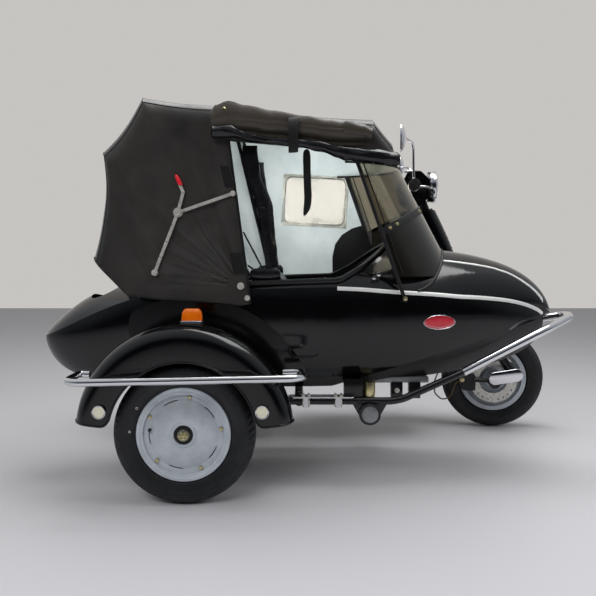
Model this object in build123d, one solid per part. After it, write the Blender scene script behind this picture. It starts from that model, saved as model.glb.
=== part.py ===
from build123d import *
import math
import os

# A classic pressed-steel scooter with a single-seat hooded sidecar on its right.
# Millimetres. +X is forward, +Y is left, +Z is up. The origin is on the ground,
# below the middle of the whole outfit. The steering stands turned a little to the right.

# Wheels, all 3.50-10
tyre_radius = 215
tyre_half_width = 46
bead_radius = 127
bead_half_width = 31
flange_radius = 140
flange_thickness = 5

# Places of the three wheels and the two centre planes
scooter_y = 376
track = 1000
wheelbase = 1260
front_axle_x = 760
sidecar_wheel_lead = 75
sidecar_wheel_y = scooter_y - track
rear_axle_x = front_axle_x - wheelbase
sidecar_axle_x = rear_axle_x + sidecar_wheel_lead
axle_z = tyre_radius
tub_y = sidecar_wheel_y + 400

# Steering
steer_x = 430
steer_z = 1020
steer_rake = 22
steer_rest_turn = 8
column_radius = 18
head_tube_radius = 30

# Sidecar body
tub_wall = 12
pan_inset = 6
cockpit_front_x = 235
cockpit_round_x = 66
cockpit_rear_x = -600
cockpit_half = 246
cockpit_rear_half = 196

# Windscreen, a half cylinder of sheet that leans back
screen_radius = 254
screen_sheet = 5
screen_lean = 0.53
screen_centre_x = 182
screen_ref_z = 723
screen_top_z = 1044
screen_bottom_z = 680
screen_seam_x = 186
screen_seam_z = 823

# Hood
hood_half = 276
hood_cloth = 5
hood_corner = 62

# Sidecar frame
rail_radius = 12
rail_z = 281
rail_near_y = tub_y - 256
rail_far_y = tub_y + 256
hoop_sleeve_radius = 14
cross_tube_radius = 27
cross_tube_x = 146
cross_tube_z = 241


def rod(start, end, radius):
    axis = Vector(*end) - Vector(*start)
    return extrude(Plane(origin=start, z_dir=axis) * Circle(radius), axis.length)


def tube(points, radii, radius):
    path = FilletPolyline(*points, radius=radii)
    start = Plane(origin=points[0], z_dir=Vector(*points[1]) - Vector(*points[0]))
    return sweep(start * Circle(radius), path=path)


def side_prism(outline, y_low, y_high):
    return extrude(Plane.XZ.offset(-y_low) * outline, y_high - y_low, dir=(0, 1, 0))


def block(x_low, x_high, y_low, y_high, z_low, z_high):
    size = Box(x_high - x_low, y_high - y_low, z_high - z_low)
    return Pos((x_low + x_high) / 2, (y_low + y_high) / 2, (z_low + z_high) / 2) * size


def wheel_plane(x, y, z):
    return Plane(origin=(x, y, z), x_dir=(1, 0, 0), z_dir=(0, 0, 1))


def turned(outline, x, y, z, degrees=360, start=0):
    # outline is (distance from the axle, distance across), turned over the top from the front
    axle = Axis((x, y, z), (0, -1, 0))
    ring = revolve(wheel_plane(x, y, z) * outline, axle, degrees)
    return ring.rotate(axle, start) if start else ring


def cap_arc(start, radius, rise):
    # the outline of a round cap whose centre lies on its axis
    ball = (radius * radius + rise * rise) / (2 * rise)
    half = math.asin(radius / ball) / 2
    middle = (start + rise - ball + ball * math.cos(half), ball * math.sin(half))
    return ThreePointArc((start, radius), middle, (start + rise, 0))


def both_sides(solid, centre_y):
    return [solid, mirror(solid, Plane.XZ.offset(-centre_y))]


# Wheels

def tyre(x, y, z):
    belly = tyre_half_width
    bead = bead_half_width
    side = [(bead_radius + 1, bead), (flange_radius + 2, bead), (174, belly), (203, belly - 10),
            (tyre_radius, 11)]
    outline = Polygon(*side, *[(radius, -across) for radius, across in reversed(side)], align=None)
    return turned(outline, x, y, z)


def rim(x, y, z, face):
    # pressed rim: rolled flanges, drop centre and a dished disc; face is -1 where it looks to the right
    bead = bead_half_width
    lip = bead + flange_thickness
    barrel = Polygon(
        (bead_radius, -bead), (flange_radius, -bead - 0.3), (flange_radius, -lip), (bead_radius - 5, -lip),
        (bead_radius - 9, -16), (106, -11), (106, 11), (bead_radius - 9, 16), (bead_radius - 5, lip),
        (flange_radius, lip), (flange_radius, bead + 0.3), (bead_radius, bead), (bead_radius - 4, 18),
        (111, 14), (111, -14), (bead_radius - 4, -18), align=None)
    dish = make_face([
        Line((108, face * 2), (100, face * 12)),
        ThreePointArc((100, face * 12), (74, face * 26), (40, face * 31)),
        Line((40, face * 31), (30, face * 31)),
        Line((30, face * 31), (30, face * 26)),
        Line((30, face * 26), (40, face * 26)),
        ThreePointArc((40, face * 26), (72, face * 21), (96, face * 8)),
        Line((96, face * 8), (108, face * -3)),
        Line((108, face * -3), (108, face * 2)),
    ])
    solid = turned(barrel, x, y, z) + turned(dish, x, y, z)
    slot = SlotArc(CenterArc((0, 0), 104.5, -14, 28), 5)
    cutter = extrude(Plane((x, y, z), x_dir=(1, 0, 0), z_dir=(0, 1, 0)) * slot, 45, both=True)
    axle = Axis((x, y, z), (0, 1, 0))
    for turn in range(5):
        solid = solid - cutter.rotate(axle, 72 * turn + 18)
    return solid


def hub(x, y, z, face):
    outline = Polygon(
        (13, face * 44), (16, face * 44), (18, face * 38), (28, face * 38), (30, face * 34), (38, face * 34),
        (38, face * 31.2), (29.7, face * 31.2), (29.7, face * 25), (38, face * 25.7), (60, face * 15),
        (60, face * -30), (13, face * -30), align=None)
    return turned(outline, x, y, z)


# Sidecar body

# x, half width, shoulder z, crown z, bottom z, bottom half width
tub_rows = [
    (-970, 16, 466, 476, 446, 8),
    (-925, 84, 482, 520, 381, 42),
    (-820, 146, 528, 600, 335, 92),
    (-620, 220, 606, 668, 318, 158),
    (-250, 256, 640, 750, 316, 188),
    (100, 257, 646, 790, 322, 192),
    (300, 246, 630, 775, 338, 172),
    (450, 212, 606, 760, 353, 134),
    (590, 155, 590, 731, 374, 86),
    (700, 92, 572, 684, 412, 46),
    (770, 42, 556, 622, 466, 18),
    (803, 8, 541, 556, 522, 4),
]
side_bulge = 0.13


def tub_section(row, inset):
    x, half, shoulder, crown, bottom, bottom_half = row
    half -= inset
    bottom_half = max(bottom_half - inset, 2)
    crown -= inset
    bottom += inset
    rise = shoulder - bottom
    run = half - bottom_half
    middle = ((half + bottom_half) / 2 + side_bulge * rise, (shoulder + bottom) / 2 - side_bulge * run)
    outline = make_face([
        Line((-bottom_half, bottom), (bottom_half, bottom)),
        ThreePointArc((bottom_half, bottom), middle, (half, shoulder)),
        ThreePointArc((half, shoulder), (0, crown), (-half, shoulder)),
        ThreePointArc((-half, shoulder), (-middle[0], middle[1]), (-bottom_half, bottom)),
    ])
    return Plane.YZ.offset(x) * Pos(tub_y, 0, 0) * outline


def tub_loft(rows, inset):
    return loft([tub_section(row, inset) for row in rows])


def tub_size(x):
    # the section's sizes at any x, in line between two rows
    for left, right in zip(tub_rows, tub_rows[1:]):
        if left[0] <= x <= right[0]:
            share = (x - left[0]) / (right[0] - left[0])
            return [a + share * (b - a) for a, b in zip(left, right)]
    raise ValueError("outside the sidecar body")


def deck_z(x, across):
    _, half, shoulder, crown, _, _ = tub_size(x)
    rise = crown - shoulder
    radius = (half * half + rise * rise) / (2 * rise)
    return crown - radius + math.sqrt(radius * radius - across * across)


seam = make_face([
    ThreePointArc((20, 316), (411, 438), (820, 548)),
    Line((820, 548), (820, 200)),
    Line((820, 200), (20, 200)),
    Line((20, 200), (20, 316)),
])
below_seam = side_prism(seam, tub_y - 300, tub_y + 300)
tub_outside = tub_loft(tub_rows, 0)
tub_inside = tub_loft(tub_rows[2:10], tub_wall)
cockpit_arc = ThreePointArc((cockpit_round_x, -cockpit_half), (cockpit_front_x, 0), (cockpit_round_x, cockpit_half))
cockpit_outline = make_face([
    cockpit_arc,
    Line((cockpit_round_x, cockpit_half), (-250, cockpit_half)),
    Line((-250, cockpit_half), (cockpit_rear_x, cockpit_rear_half)),
    Line((cockpit_rear_x, cockpit_rear_half), (cockpit_rear_x, -cockpit_rear_half)),
    Line((cockpit_rear_x, -cockpit_rear_half), (-250, -cockpit_half)),
    Line((-250, -cockpit_half), (cockpit_round_x, -cockpit_half)),
])
cockpit_cut = extrude(Plane.XY.offset(590) * Pos(0, tub_y, 0) * cockpit_outline, 300, dir=(0, 0, 1))
wheel_well_radius = 400
wheel_well_depth = 26


def wheel_well(inward):
    # the round recess in the flank beside the sidecar wheel
    well_y = tub_y - 256 + wheel_well_depth + inward
    start = (sidecar_axle_x, well_y, axle_z)
    return rod(start, (sidecar_axle_x, well_y - 120, axle_z), wheel_well_radius + inward)


seat_base_z = 376
bench_front_x = 190


def sidecar_tub():
    room = tub_inside - wheel_well(tub_wall)
    shell = tub_outside - below_seam - room - cockpit_cut - wheel_well(0)
    bench = block(-250, 20, tub_y - 150, tub_y + 150, 322, seat_base_z - 0.3)
    pan_top = tub_size(bench_front_x)[4] + tub_wall + 0.5
    bench += block(10, bench_front_x, tub_y - 150, tub_y + 150, pan_top, seat_base_z - 0.3)
    return shell + bench


def belly_pan():
    pan = tub_loft(tub_rows[5:11], pan_inset) & below_seam
    return pan - tub_inside


# Cockpit furniture

coaming_radius = 9


def coaming():
    # a roll of trim round the edge of the opening, seated on the deck
    stations = [(-560, 206), (-250, 247), (50, 247), (120, 214), (190, 132), (226, 40)]
    side = [(x, across, deck_z(x, across) + coaming_radius) for x, across in stations]
    points = [(x, tub_y - across, z) for x, across, z in side]
    points += [(x, tub_y + across, z) for x, across, z in reversed(side)]
    return tube(points, [200, 60, 60, 60, 30, 30, 60, 60, 60, 200], coaming_radius) - tub_outside


seat_half = 190


def seat_cushion():
    low = seat_base_z
    outline = Polygon((-100, low), (196, low), (196, 448), (170, 462), (-60, 446), (-100, 434), align=None)
    cushion = side_prism(outline, tub_y - seat_half, tub_y + seat_half)
    return fillet(cushion.edges().filter_by(Axis.Y).group_by(Axis.Z)[-1], 20)


def seat_back():
    outline = Polygon(
        (-103, seat_base_z), (-210, seat_base_z), (-250, 655), (-232, 690), (-150, 692), (-128, 668),
        (-101, 440), align=None)
    back = side_prism(outline, tub_y - seat_half, tub_y + seat_half)
    return fillet(back.edges().filter_by(Axis.Y).group_by(Axis.Z)[-1], 12)


# Windscreen

def screen_strip(z):
    x = screen_centre_x - screen_lean * (z - screen_ref_z)
    ring = Circle(screen_radius) - Circle(screen_radius - screen_sheet)
    front = Pos(screen_radius - 20, 0) * Rectangle(2 * screen_radius, 3 * screen_radius)
    return Plane.XY.offset(z) * Pos(x, tub_y) * (ring & front)


def screen_sheet_solid():
    low = screen_bottom_z - 40
    lean = Vector(-screen_lean, 0, 1)
    rise = screen_top_z - low
    sheet = extrude(screen_strip(low), amount=rise * lean.length, dir=lean.normalized())
    front_of_edge = Polygon((234, screen_bottom_z), (105, 1046), (105, 1100), (600, 1100), (600, screen_bottom_z),
                            align=None)
    return (sheet & side_prism(front_of_edge, tub_y - 300, tub_y + 300)) - tub_outside


def above_seam():
    slope = screen_lean
    return side_prism(Polygon(
        (-300, screen_seam_z + slope * (-300 - screen_seam_x)), (700, screen_seam_z + slope * (700 - screen_seam_x)),
        (700, 1400), (-300, 1400), align=None), tub_y - 300, tub_y + 300)


def screen_frame():
    # a bar down each rear edge that runs on as the stay to its bolt on the body side
    bar_radius = 6
    side = tub_y - screen_radius - bar_radius - 0.5
    bolt = (256, tub_y - 267, 606)
    stay = tube([(101, side, 1046), (232, side, 676), bolt], [60], bar_radius)
    stay += rod((256, tub_y - 244, 606), (256, tub_y - 274, 606), 7)
    return both_sides(stay - tub_outside, tub_y)


# Hood

# foot x, foot z, top x, top z of each arch of the hood, from the screen to the back flap
hood_rows = [
    (226, 690, 234, 1054),
    (205, 672, 214, 1118),
    (150, 662, 153, 1192),
    (-262, 590, -340, 1237),
    (-330, 598, -581, 1260),
    (-430, 606, -710, 1088),
    (-520, 611, -705, 938),
    (-622, 624, -747, 752),
]
hood_crown = 14
bow_radius = 6
pin_radius = 8
pivot_x = -264
pivot_z = 652


def arch(row, inset, drop):
    foot_x, foot_z, top_x, top_z = row
    up = Vector(top_x - foot_x, 0, top_z - foot_z)
    half = hood_half - inset
    high = up.length - inset
    corner = hood_corner - inset
    plane = Plane(origin=(foot_x, tub_y, foot_z), x_dir=(0, 1, 0), z_dir=Vector(0, 1, 0).cross(up))
    bend = corner * (1 - math.sqrt(0.5))
    spring = high - corner - hood_crown
    ridge = high - hood_crown
    outline = make_face([
        Line((-half, -drop), (half, -drop)),
        Line((half, -drop), (half, spring)),
        ThreePointArc((half, spring), (half - bend, ridge - bend), (half - corner, ridge)),
        ThreePointArc((half - corner, ridge), (0, high), (corner - half, ridge)),
        ThreePointArc((corner - half, ridge), (bend - half, ridge - bend), (-half, spring)),
        Line((-half, spring), (-half, -drop)),
    ])
    return plane * outline


def hood_window_outline(grow):
    return Pos(-18, 953) * Rot(0, 0, -3) * RectangleRounded(232 + 2 * grow, 178 + 2 * grow, 26 + grow)


def hood():
    outside = loft([arch(row, 0, 0) for row in hood_rows], ruled=True)
    inner_rows = [(246, 690, 254, 1054)] + hood_rows[1:-1] + [(-622, 610, -751, 734)]
    inside = loft([arch(row, hood_cloth, 24) for row in inner_rows], ruled=True)
    shell = outside - inside
    doorway = Polygon(
        (-232, 520), (-239, 640), (-299, 1104), (100, 1068), (216, 1050), (320, 1046), (320, 520), align=None)
    shell -= side_prism(doorway, tub_y - 400, tub_y - 150)
    ahead = Polygon((262, 600), (258, 690), (118, 1046), (320, 1046), (320, 600), align=None)
    shell -= side_prism(ahead, tub_y + 150, tub_y + 400)
    skirt = Polygon((-236, 500), (-240, 655), (300, 655), (300, 500), align=None)
    shell -= side_prism(skirt, tub_y + 150, tub_y + 400)
    shell -= rod((pivot_x, tub_y - 400, pivot_z), (pivot_x, tub_y + 400, pivot_z), pin_radius + 0.4)
    return shell - side_prism(hood_window_outline(0), tub_y + 150, tub_y + 400)


def hood_window():
    face_y = tub_y + hood_half - hood_cloth
    return side_prism(hood_window_outline(12), face_y - 2.3, face_y - 0.3)


def hood_bow(foot, top, half):
    corner = 58
    points = [(foot[0], tub_y - half, foot[1]), (top[0], tub_y - half, top[1]),
              (top[0], tub_y + half, top[1]), (foot[0], tub_y + half, foot[1])]
    return tube(points, [corner, corner], bow_radius)


def hood_bows():
    half = hood_half - hood_cloth - bow_radius - 0.5
    rear = hood_bow((pivot_x, pivot_z), (-693, 1061), half)
    top = hood_bow((pivot_x, pivot_z), (-564, 1220), half)
    front = hood_bow((-157, 624), (-296, 1203), 226)
    wall = tub_y - 244
    for foot in both_sides(rod((-157, wall, 630), (-157, wall + 20, 630), bow_radius), tub_y):
        front += foot
    pin = rod((pivot_x, tub_y - 257.5, pivot_z), (pivot_x, tub_y - hood_half - 6, pivot_z), pin_radius)
    for side in both_sides(pin, tub_y):
        rear += side
    return [rear + top, front]


def landau_irons():
    # two flat links and a handle over each side of the hood, on three studs
    cloth = tub_y - hood_half
    top, knee, foot, bend, tip = (-287, 941), (-459, 882), (-534, 694), (-442, 945), (-462, 992)
    iron = None
    for start, end in ((top, knee), (knee, foot), (knee, bend), (bend, tip)):
        middle = Pos((start[0] + end[0]) / 2, (start[1] + end[1]) / 2)
        slope = math.degrees(math.atan2(end[1] - start[1], end[0] - start[0]))
        link = middle * Rot(0, 0, slope) * SlotCenterToCenter(math.dist(start, end), 10)
        flat = side_prism(link, cloth - 10, cloth - 5)
        iron = flat if iron is None else iron + flat
    for (x, z), radius in ((top, 9), (knee, 15), (foot, 10)):
        iron += rod((x, cloth - 0.3, z), (x, cloth - 12, z), radius)
    return both_sides(iron, tub_y)


roll_radius = 22


def curtain_roll():
    y = tub_y - hood_half - roll_radius - 1
    return tube([(-341, y, 1103), (-60, y - 2, 1084), (232, y, 1046)], [900], roll_radius)


def roof_flap():
    outline = Polygon(
        (-350, 1128), (-352, 1212), (-306, 1236), (-240, 1228), (20, 1186), (130, 1166), (130, 1112), (20, 1106),
        align=None)
    y = tub_y - hood_half - 0.5
    flap = side_prism(outline, y - 26, y)
    return fillet(flap.edges().filter_by(Axis.X, reverse=True).group_by(Axis.Y)[0], 10)


# Sidecar trim

def side_strips():
    # polished strips along the flanks and over the nose, laid on the body's skin
    grown = tub_loft(tub_rows[4:], -2.5)
    skin = grown - tub_outside
    flank = Polygon((44, 638), (257, 620), (409, 602), (590, 585), (709, 561), (790, 540), (790, 549), (709, 571),
                    (590, 595), (409, 613), (257, 631), (44, 649), align=None)
    flanks = skin & side_prism(flank, tub_y - 300, tub_y + 300)
    return flanks


def nose_hoop():
    # the bumper tube: its ends sleeve over the frame rails
    side = [(458, -196, 364), (755, -136, 502), (868, -30, 534)]
    points = [(x, tub_y + across, z) for x, across, z in side]
    points += [(x, tub_y - across, z) for x, across, z in reversed(side)]
    return tube(points, [160, 52, 52, 160], hoop_sleeve_radius)


# Sidecar chassis

def sidecar_frame():
    rails = tube([
        (456, tub_y - 196.4, 363), (238, rail_near_y, rail_z), (-540, rail_near_y, rail_z),
        (-540, rail_far_y, rail_z), (238, rail_far_y, rail_z), (456, tub_y + 196.4, 363)],
        [160, 70, 70, 160], rail_radius)
    cross = rod((cross_tube_x, rail_near_y - 22, cross_tube_z), (cross_tube_x, scooter_y - 40, cross_tube_z),
                cross_tube_radius)
    frame = rails + cross
    gusset = Polygon((86, rail_z), (206, rail_z), (178, 232), (114, 232), align=None)
    for y in (rail_near_y, rail_far_y):
        frame += side_prism(gusset, y - 9, y + 9)
        frame += rod((cross_tube_x, y - 20, cross_tube_z), (cross_tube_x, y + 20, cross_tube_z), 35)
    for x, far in ((-80, scooter_y - 50.2), (-330, rail_far_y + 5)):
        frame += rod((x, rail_near_y - 5, rail_z - 2), (x, far, rail_z - 2), 14)
    frame += block(cross_tube_x - 36, cross_tube_x + 36, scooter_y - 62, scooter_y - 20, cross_tube_z, 284.7)
    for x in (-480, -160, 110):
        for y in (tub_y - 150, tub_y + 150):
            frame += block(x - 30, x + 30, y - 22, y + 22, rail_z - 4, 309)
        frame += rod((x, rail_near_y, rail_z), (x, rail_far_y, rail_z), 10)
    return frame


def upper_strut():
    lower = (-80, rail_far_y + 14, 306)
    upper = (2, scooter_y - 66, 560)
    foot = rod((-80, rail_far_y + 14, rail_z + 12.3), (-80, rail_far_y + 14, 312), 15)
    lug = block(-19.7, 12, scooter_y - 80, scooter_y - 50, 545, 578)
    return rod(lower, upper, 13) + foot + lug


arm_pivot_x = sidecar_axle_x + 225


def trailing_arm():
    pivot_y = rail_near_y - 12.3
    arm = rod((arm_pivot_x, pivot_y, rail_z - 4), (arm_pivot_x, pivot_y - 58, rail_z - 4), 30)
    arm += rod((arm_pivot_x, pivot_y - 34, rail_z - 4), (sidecar_axle_x, pivot_y - 38, axle_z), 17)
    arm += rod((sidecar_axle_x, pivot_y - 24, axle_z), (sidecar_axle_x, pivot_y - 60, axle_z), 24)
    arm += rod((sidecar_axle_x, pivot_y - 58, axle_z), (sidecar_axle_x, sidecar_wheel_y - 38, axle_z), 12.4)
    return arm


# Sidecar wheel cover

fender_radius = 330
fender_half = 60
fender_wall = 3
valance_radius = 240
fender_start = 7


def fender_skin():
    half = fender_half
    outline = make_face([
        Line((valance_radius, -half), (292, -half)),
        ThreePointArc((292, -half), (fender_radius, 0), (292, half)),
        Line((292, half), (valance_radius, half)),
        Line((valance_radius, half), (valance_radius, -half)),
    ])
    return turned(outline, sidecar_axle_x, sidecar_wheel_y, axle_z)


def fender():
    half = fender_half
    shoulder = 292
    crown = fender_radius
    t = fender_wall
    shell = make_face([
        Line((valance_radius, -half), (shoulder, -half)),
        ThreePointArc((shoulder, -half), (crown, 0), (shoulder, half)),
        Line((shoulder, half), (265, half)),
        Line((265, half), (265, half - t)),
        Line((265, half - t), (shoulder, half - t)),
        ThreePointArc((shoulder, half - t), (crown - t, 0), (shoulder, t - half)),
        Line((shoulder, t - half), (valance_radius, t - half)),
        Line((valance_radius, t - half), (valance_radius, -half)),
    ])
    bead = Pos(valance_radius, -half) * Circle(4)
    place = (sidecar_axle_x, sidecar_wheel_y, axle_z)
    sweep_angle = 180 - 2 * fender_start
    arc = turned(shell, *place, sweep_angle, fender_start) + turned(bead, *place, sweep_angle, fender_start)
    return arc


def fender_hoop():
    y_out = sidecar_wheel_y - 130
    y_in = sidecar_wheel_y + fender_half - 20
    rear = sidecar_axle_x - fender_radius + 1
    front = sidecar_axle_x + fender_radius + 28
    points = [(rear + 32, y_in, 384), (rear, y_in, 385), (rear, y_out, 387), (front, y_out, 401),
              (front, y_in, 392), (front - 63, y_in, 390)]
    return tube(points, [12, 60, 60, 25], 11)


lamp_x = sidecar_axle_x + 24


def fender_lamp_base():
    z = axle_z + fender_radius - 10
    base = block(lamp_x - 33, lamp_x + 33, sidecar_wheel_y - 22, sidecar_wheel_y + 22, z, z + 17)
    return base - fender_skin()


def fender_lamp_lens():
    z = axle_z + fender_radius + 7.3
    foot = Plane.XY.offset(z) * Pos(lamp_x, sidecar_wheel_y) * RectangleRounded(60, 38, 10)
    top = Plane.XY.offset(z + 38) * Pos(lamp_x, sidecar_wheel_y) * RectangleRounded(50, 28, 10)
    return loft([foot, top])


def reflectors():
    y = sidecar_wheel_y - fender_half
    places = (sidecar_axle_x - 267, sidecar_axle_x + 267)
    return [rod((x, y - 0.2, 290), (x, y - 9, 290), 20) for x in places]


def step_plate():
    z = rail_z + rail_radius + 1
    plate = block(-115, 97, rail_near_y - 24, rail_near_y + 24, z, z + 4)
    plate = fillet(plate.edges().filter_by(Axis.Z), 14)
    for x in (-58, 46):
        clamp = block(x - 7, x + 7, rail_near_y - 15, rail_near_y + 15, rail_z - 20, z + 0.1)
        hole = rod((x - 10, rail_near_y, rail_z), (x + 10, rail_near_y, rail_z), rail_radius + 0.3)
        plate += clamp - hole
    return plate


# Scooter

tunnel_half = 70
floor_z = 285
floor_half = 226
floor_front_x = 470
seat_front_x = rear_axle_x + 486
stand_x = rear_axle_x + 380
seat_plane_z = 742


def column_x(z):
    return steer_x + (steer_z - z) * math.tan(math.radians(steer_rake))


# x ahead of the rear axle, half width, bottom z, top z, corner radius of the scooter's rear shell
tail_rows = [
    (480, 84, 330, 738, 40),
    (300, 108, 452, 741, 50),
    (50, 116, 474, 741, 50),
    (-140, 100, 452, 712, 46),
    (-252, 62, 420, 650, 40),
]
tail_x = rear_axle_x + tail_rows[-1][0]


# the steel tube down the middle of the scooter, from the head tube to the floor
down_tube_path = [(column_x(690), scooter_y, 690), (545, scooter_y, 560), (470, scooter_y, 318)]
down_tube_bend = [120]
down_tube_radius = 26


def scooter_body():
    sections = []
    for x, half, low, high, corner in tail_rows:
        outline = RectangleRounded(2 * half, high - low, corner)
        sections.append(Plane.YZ.offset(rear_axle_x + x) * Pos(scooter_y, (low + high) / 2) * outline)
    body = loft(sections)
    heel = seat_front_x - 46
    tunnel_outline = Polygon((heel, floor_z), (470, floor_z), (500, 330), (440, 346), (heel + 150, 346),
                             (heel + 80, 420), (heel, 420), align=None)
    body += side_prism(tunnel_outline, scooter_y - tunnel_half, scooter_y + tunnel_half)
    low = (column_x(640), scooter_y, 640)
    high = (column_x(934), scooter_y, 934)
    body += rod(low, high, head_tube_radius)
    body += tube(down_tube_path, down_tube_bend, down_tube_radius)
    body += block(stand_x - 70, stand_x + 70, scooter_y - 50, scooter_y + 50, 270, 345)
    body -= rod((column_x(540), scooter_y, 540), (column_x(960), scooter_y, 960), column_radius + 0.5)
    body -= block(tail_x, seat_front_x + 24, scooter_y - 200, scooter_y + 200, seat_plane_z - 0.3, 800)
    arch_cut = rod((rear_axle_x, scooter_y - 60, axle_z), (rear_axle_x, scooter_y + 60, axle_z), tyre_radius + 22)
    return body - arch_cut


# z, front x, half width, how far the edges sweep back
shield_rows = [
    (285, 506, 220, 34),
    (420, 540, 232, 56),
    (600, 558, 236, 80),
    (780, 506, 226, 84),
    (944, 440, 150, 52),
]
shield_thickness = 8


def shield_loft(thickness):
    sections = []
    for z, front, half, back in shield_rows:
        outline = make_face([
            ThreePointArc((front - back, -half), (front, 0), (front - back, half)),
            Line((front - back, half), (front - back - thickness, half)),
            ThreePointArc((front - back - thickness, half), (front - thickness, 0),
                          (front - back - thickness, -half)),
            Line((front - back - thickness, -half), (front - back, -half)),
        ])
        sections.append(Plane.XY.offset(z) * Pos(0, scooter_y) * outline)
    return loft(sections)


def legshield():
    hole = rod((column_x(560), scooter_y, 560), (column_x(990), scooter_y, 990), head_tube_radius + 0.5)
    return shield_loft(shield_thickness) - hole - tube(down_tube_path, down_tube_bend, down_tube_radius + 0.5)


def horn_cover():
    rows = [(650, 44, 46), (800, 50, 50), (936, 42, 40)]
    sections = []
    for z, half, front in rows:
        x = column_x(z)
        outline = make_face([
            ThreePointArc((x - 10, -half), (x + front, 0), (x - 10, half)),
            Line((x - 10, half), (x - 10, -half)),
        ])
        sections.append(Plane.XY.offset(z) * Pos(0, scooter_y) * outline)
    cover = loft(sections)
    hole = rod((column_x(600), scooter_y, 600), (column_x(990), scooter_y, 990), head_tube_radius + 0.4)
    return cover - hole - shield_loft(200)


def floorboard():
    rear = seat_front_x - 26
    plate = block(rear, floor_front_x + 10, scooter_y - floor_half, scooter_y + floor_half, floor_z, floor_z + 10)
    plate = fillet(plate.edges().filter_by(Axis.Z), 50)
    plate -= block(rear - 40, 520, scooter_y - tunnel_half - 0.3, scooter_y + tunnel_half + 0.3, 270, 360)
    plate = plate - shield_loft(shield_thickness) - shield_loft(-100)
    for side in (-1, 1):
        for across in (104, 130, 156, 182):
            centre = scooter_y + side * across
            plate += block(rear + 70, floor_front_x - 70, centre - 5, centre + 5, floor_z + 9, floor_z + 15)
    return plate


# x ahead of the rear axle, bottom z, top z, bulge of the scooter's side cowls
cowl_rows = [
    (452, 500, 640, 26),
    (380, 392, 700, 84),
    (210, 346, 716, 116),
    (20, 350, 706, 108),
    (-140, 410, 662, 72),
    (-216, 490, 600, 20),
]
cowl_wall = 4
cowl_seat = 122


def cowl_loft(inset):
    sections = []
    for x, low, high, bulge in cowl_rows:
        middle = (low + high) / 2
        low += inset * -2
        high -= inset
        flat = cowl_seat - inset
        outline = make_face([
            ThreePointArc((flat, low), (cowl_seat + bulge - inset, middle), (flat, high)),
            Line((flat, high), (flat, low)),
        ])
        sections.append(Plane.YZ.offset(rear_axle_x + x) * Pos(scooter_y, 0) * outline)
    return loft(sections)


def left_cowl():
    return cowl_loft(0) - cowl_loft(cowl_wall)


def engine_block():
    front = rear_axle_x + 370
    case = block(front - 200, front, scooter_y - 200, scooter_y - 86, 226, 420)
    case += block(rear_axle_x - 60, front - 20, scooter_y - 146, scooter_y - 86, 182, 300)
    case += rod((rear_axle_x, scooter_y - 146, axle_z), (rear_axle_x, scooter_y - 86, axle_z), 70)
    case += rod((rear_axle_x, scooter_y - 90, axle_z), (rear_axle_x, scooter_y + 38, axle_z), 12.4)
    return case + rod((front - 30, scooter_y - 90, 300), (front - 30, scooter_y - 50.3, 300), 22)


def exhaust():
    front = rear_axle_x + 310
    body = block(front - 240, front, scooter_y - 232, scooter_y - 152, 136, 216)
    body = fillet(body.edges().filter_by(Axis.X), 30)
    header = rod((front - 60, scooter_y - 186, 200), (front - 60, scooter_y - 186, 225.7), 16)
    tail = rod((front - 238, scooter_y - 196, 176), (front - 380, scooter_y - 196, 166), 14)
    return body + header + tail


def pedals():
    # the foot brake through the floor and the kick lever on the engine
    brake_y = scooter_y - 117
    brake = rod((426, brake_y, floor_z + 12.5), (440, brake_y, 338), 6)
    brake += block(424, 462, brake_y - 22, brake_y + 22, 336, 344)
    pivot = (rear_axle_x + 330, scooter_y - 200.3, 350)
    knee = (pivot[0], pivot[1] - 46, pivot[2])
    top = (rear_axle_x + 362, knee[1] - 6, 482)
    kick = rod(pivot, knee, 13)
    kick += tube([(knee[0], knee[1] + 8, knee[2]), (knee[0] + 4, knee[1] - 2, 380), top,
                  (top[0] + 4, top[1] - 44, top[2] + 10)], [16, 18], 7)
    return [brake, kick]


def tail_lamp():
    lamp = block(tail_x - 38, tail_x - 0.3, scooter_y - 44, scooter_y + 44, 560, 634)
    return fillet(lamp.edges().filter_by(Axis.X), 18)


plate_hole_gap = 110
plate_hole_radius = 3.2


def plate_bracket():
    # carries the number plate behind the tail
    sheet = block(tail_x - 18, tail_x - 15, scooter_y - 75, scooter_y + 75, 430, 548)
    sheet = fillet(sheet.edges().filter_by(Axis.X), 12)
    sheet += block(tail_x - 16, tail_x - 0.3, scooter_y - 30, scooter_y + 30, 500, 530)
    for y in (scooter_y - plate_hole_gap / 2, scooter_y + plate_hole_gap / 2):
        sheet -= rod((tail_x - 30, y, 458), (tail_x, y, 458), plate_hole_radius)
    return sheet


def saddle():
    front = seat_front_x
    outline = Polygon(
        (front, seat_plane_z), (front + 2, 775), (front - 46, 806), (front - 250, 812), (front - 306, 838),
        (front - 606, 846), (front - 662, 806), (front - 662, seat_plane_z), align=None)
    cushion = side_prism(outline, scooter_y - 128, scooter_y + 128)
    plan = Polygon((front + 4, 92), (front - 60, 112), (front - 250, 128), (front - 560, 124), (front - 664, 84),
                   (front - 664, -84), (front - 560, -124), (front - 250, -128), (front - 60, -112), (front + 4, -92),
                   align=None)
    return cushion & extrude(Plane.XY.offset(seat_plane_z - 1) * Pos(0, scooter_y) * plan, 130, dir=(0, 0, 1))


stand_z = 262
stand_leg = 246


def centre_stand():
    half = 68
    bar = rod((stand_x, scooter_y - half - 12, stand_z), (stand_x, scooter_y + half + 12, stand_z), 7.5)
    foot_x = stand_x - stand_leg * math.cos(math.radians(12))
    foot_z = stand_z - stand_leg * math.sin(math.radians(12))
    for y in (scooter_y - half, scooter_y + half):
        bar += rod((stand_x, y, stand_z), (foot_x, y, foot_z), 11)
    return bar


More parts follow.
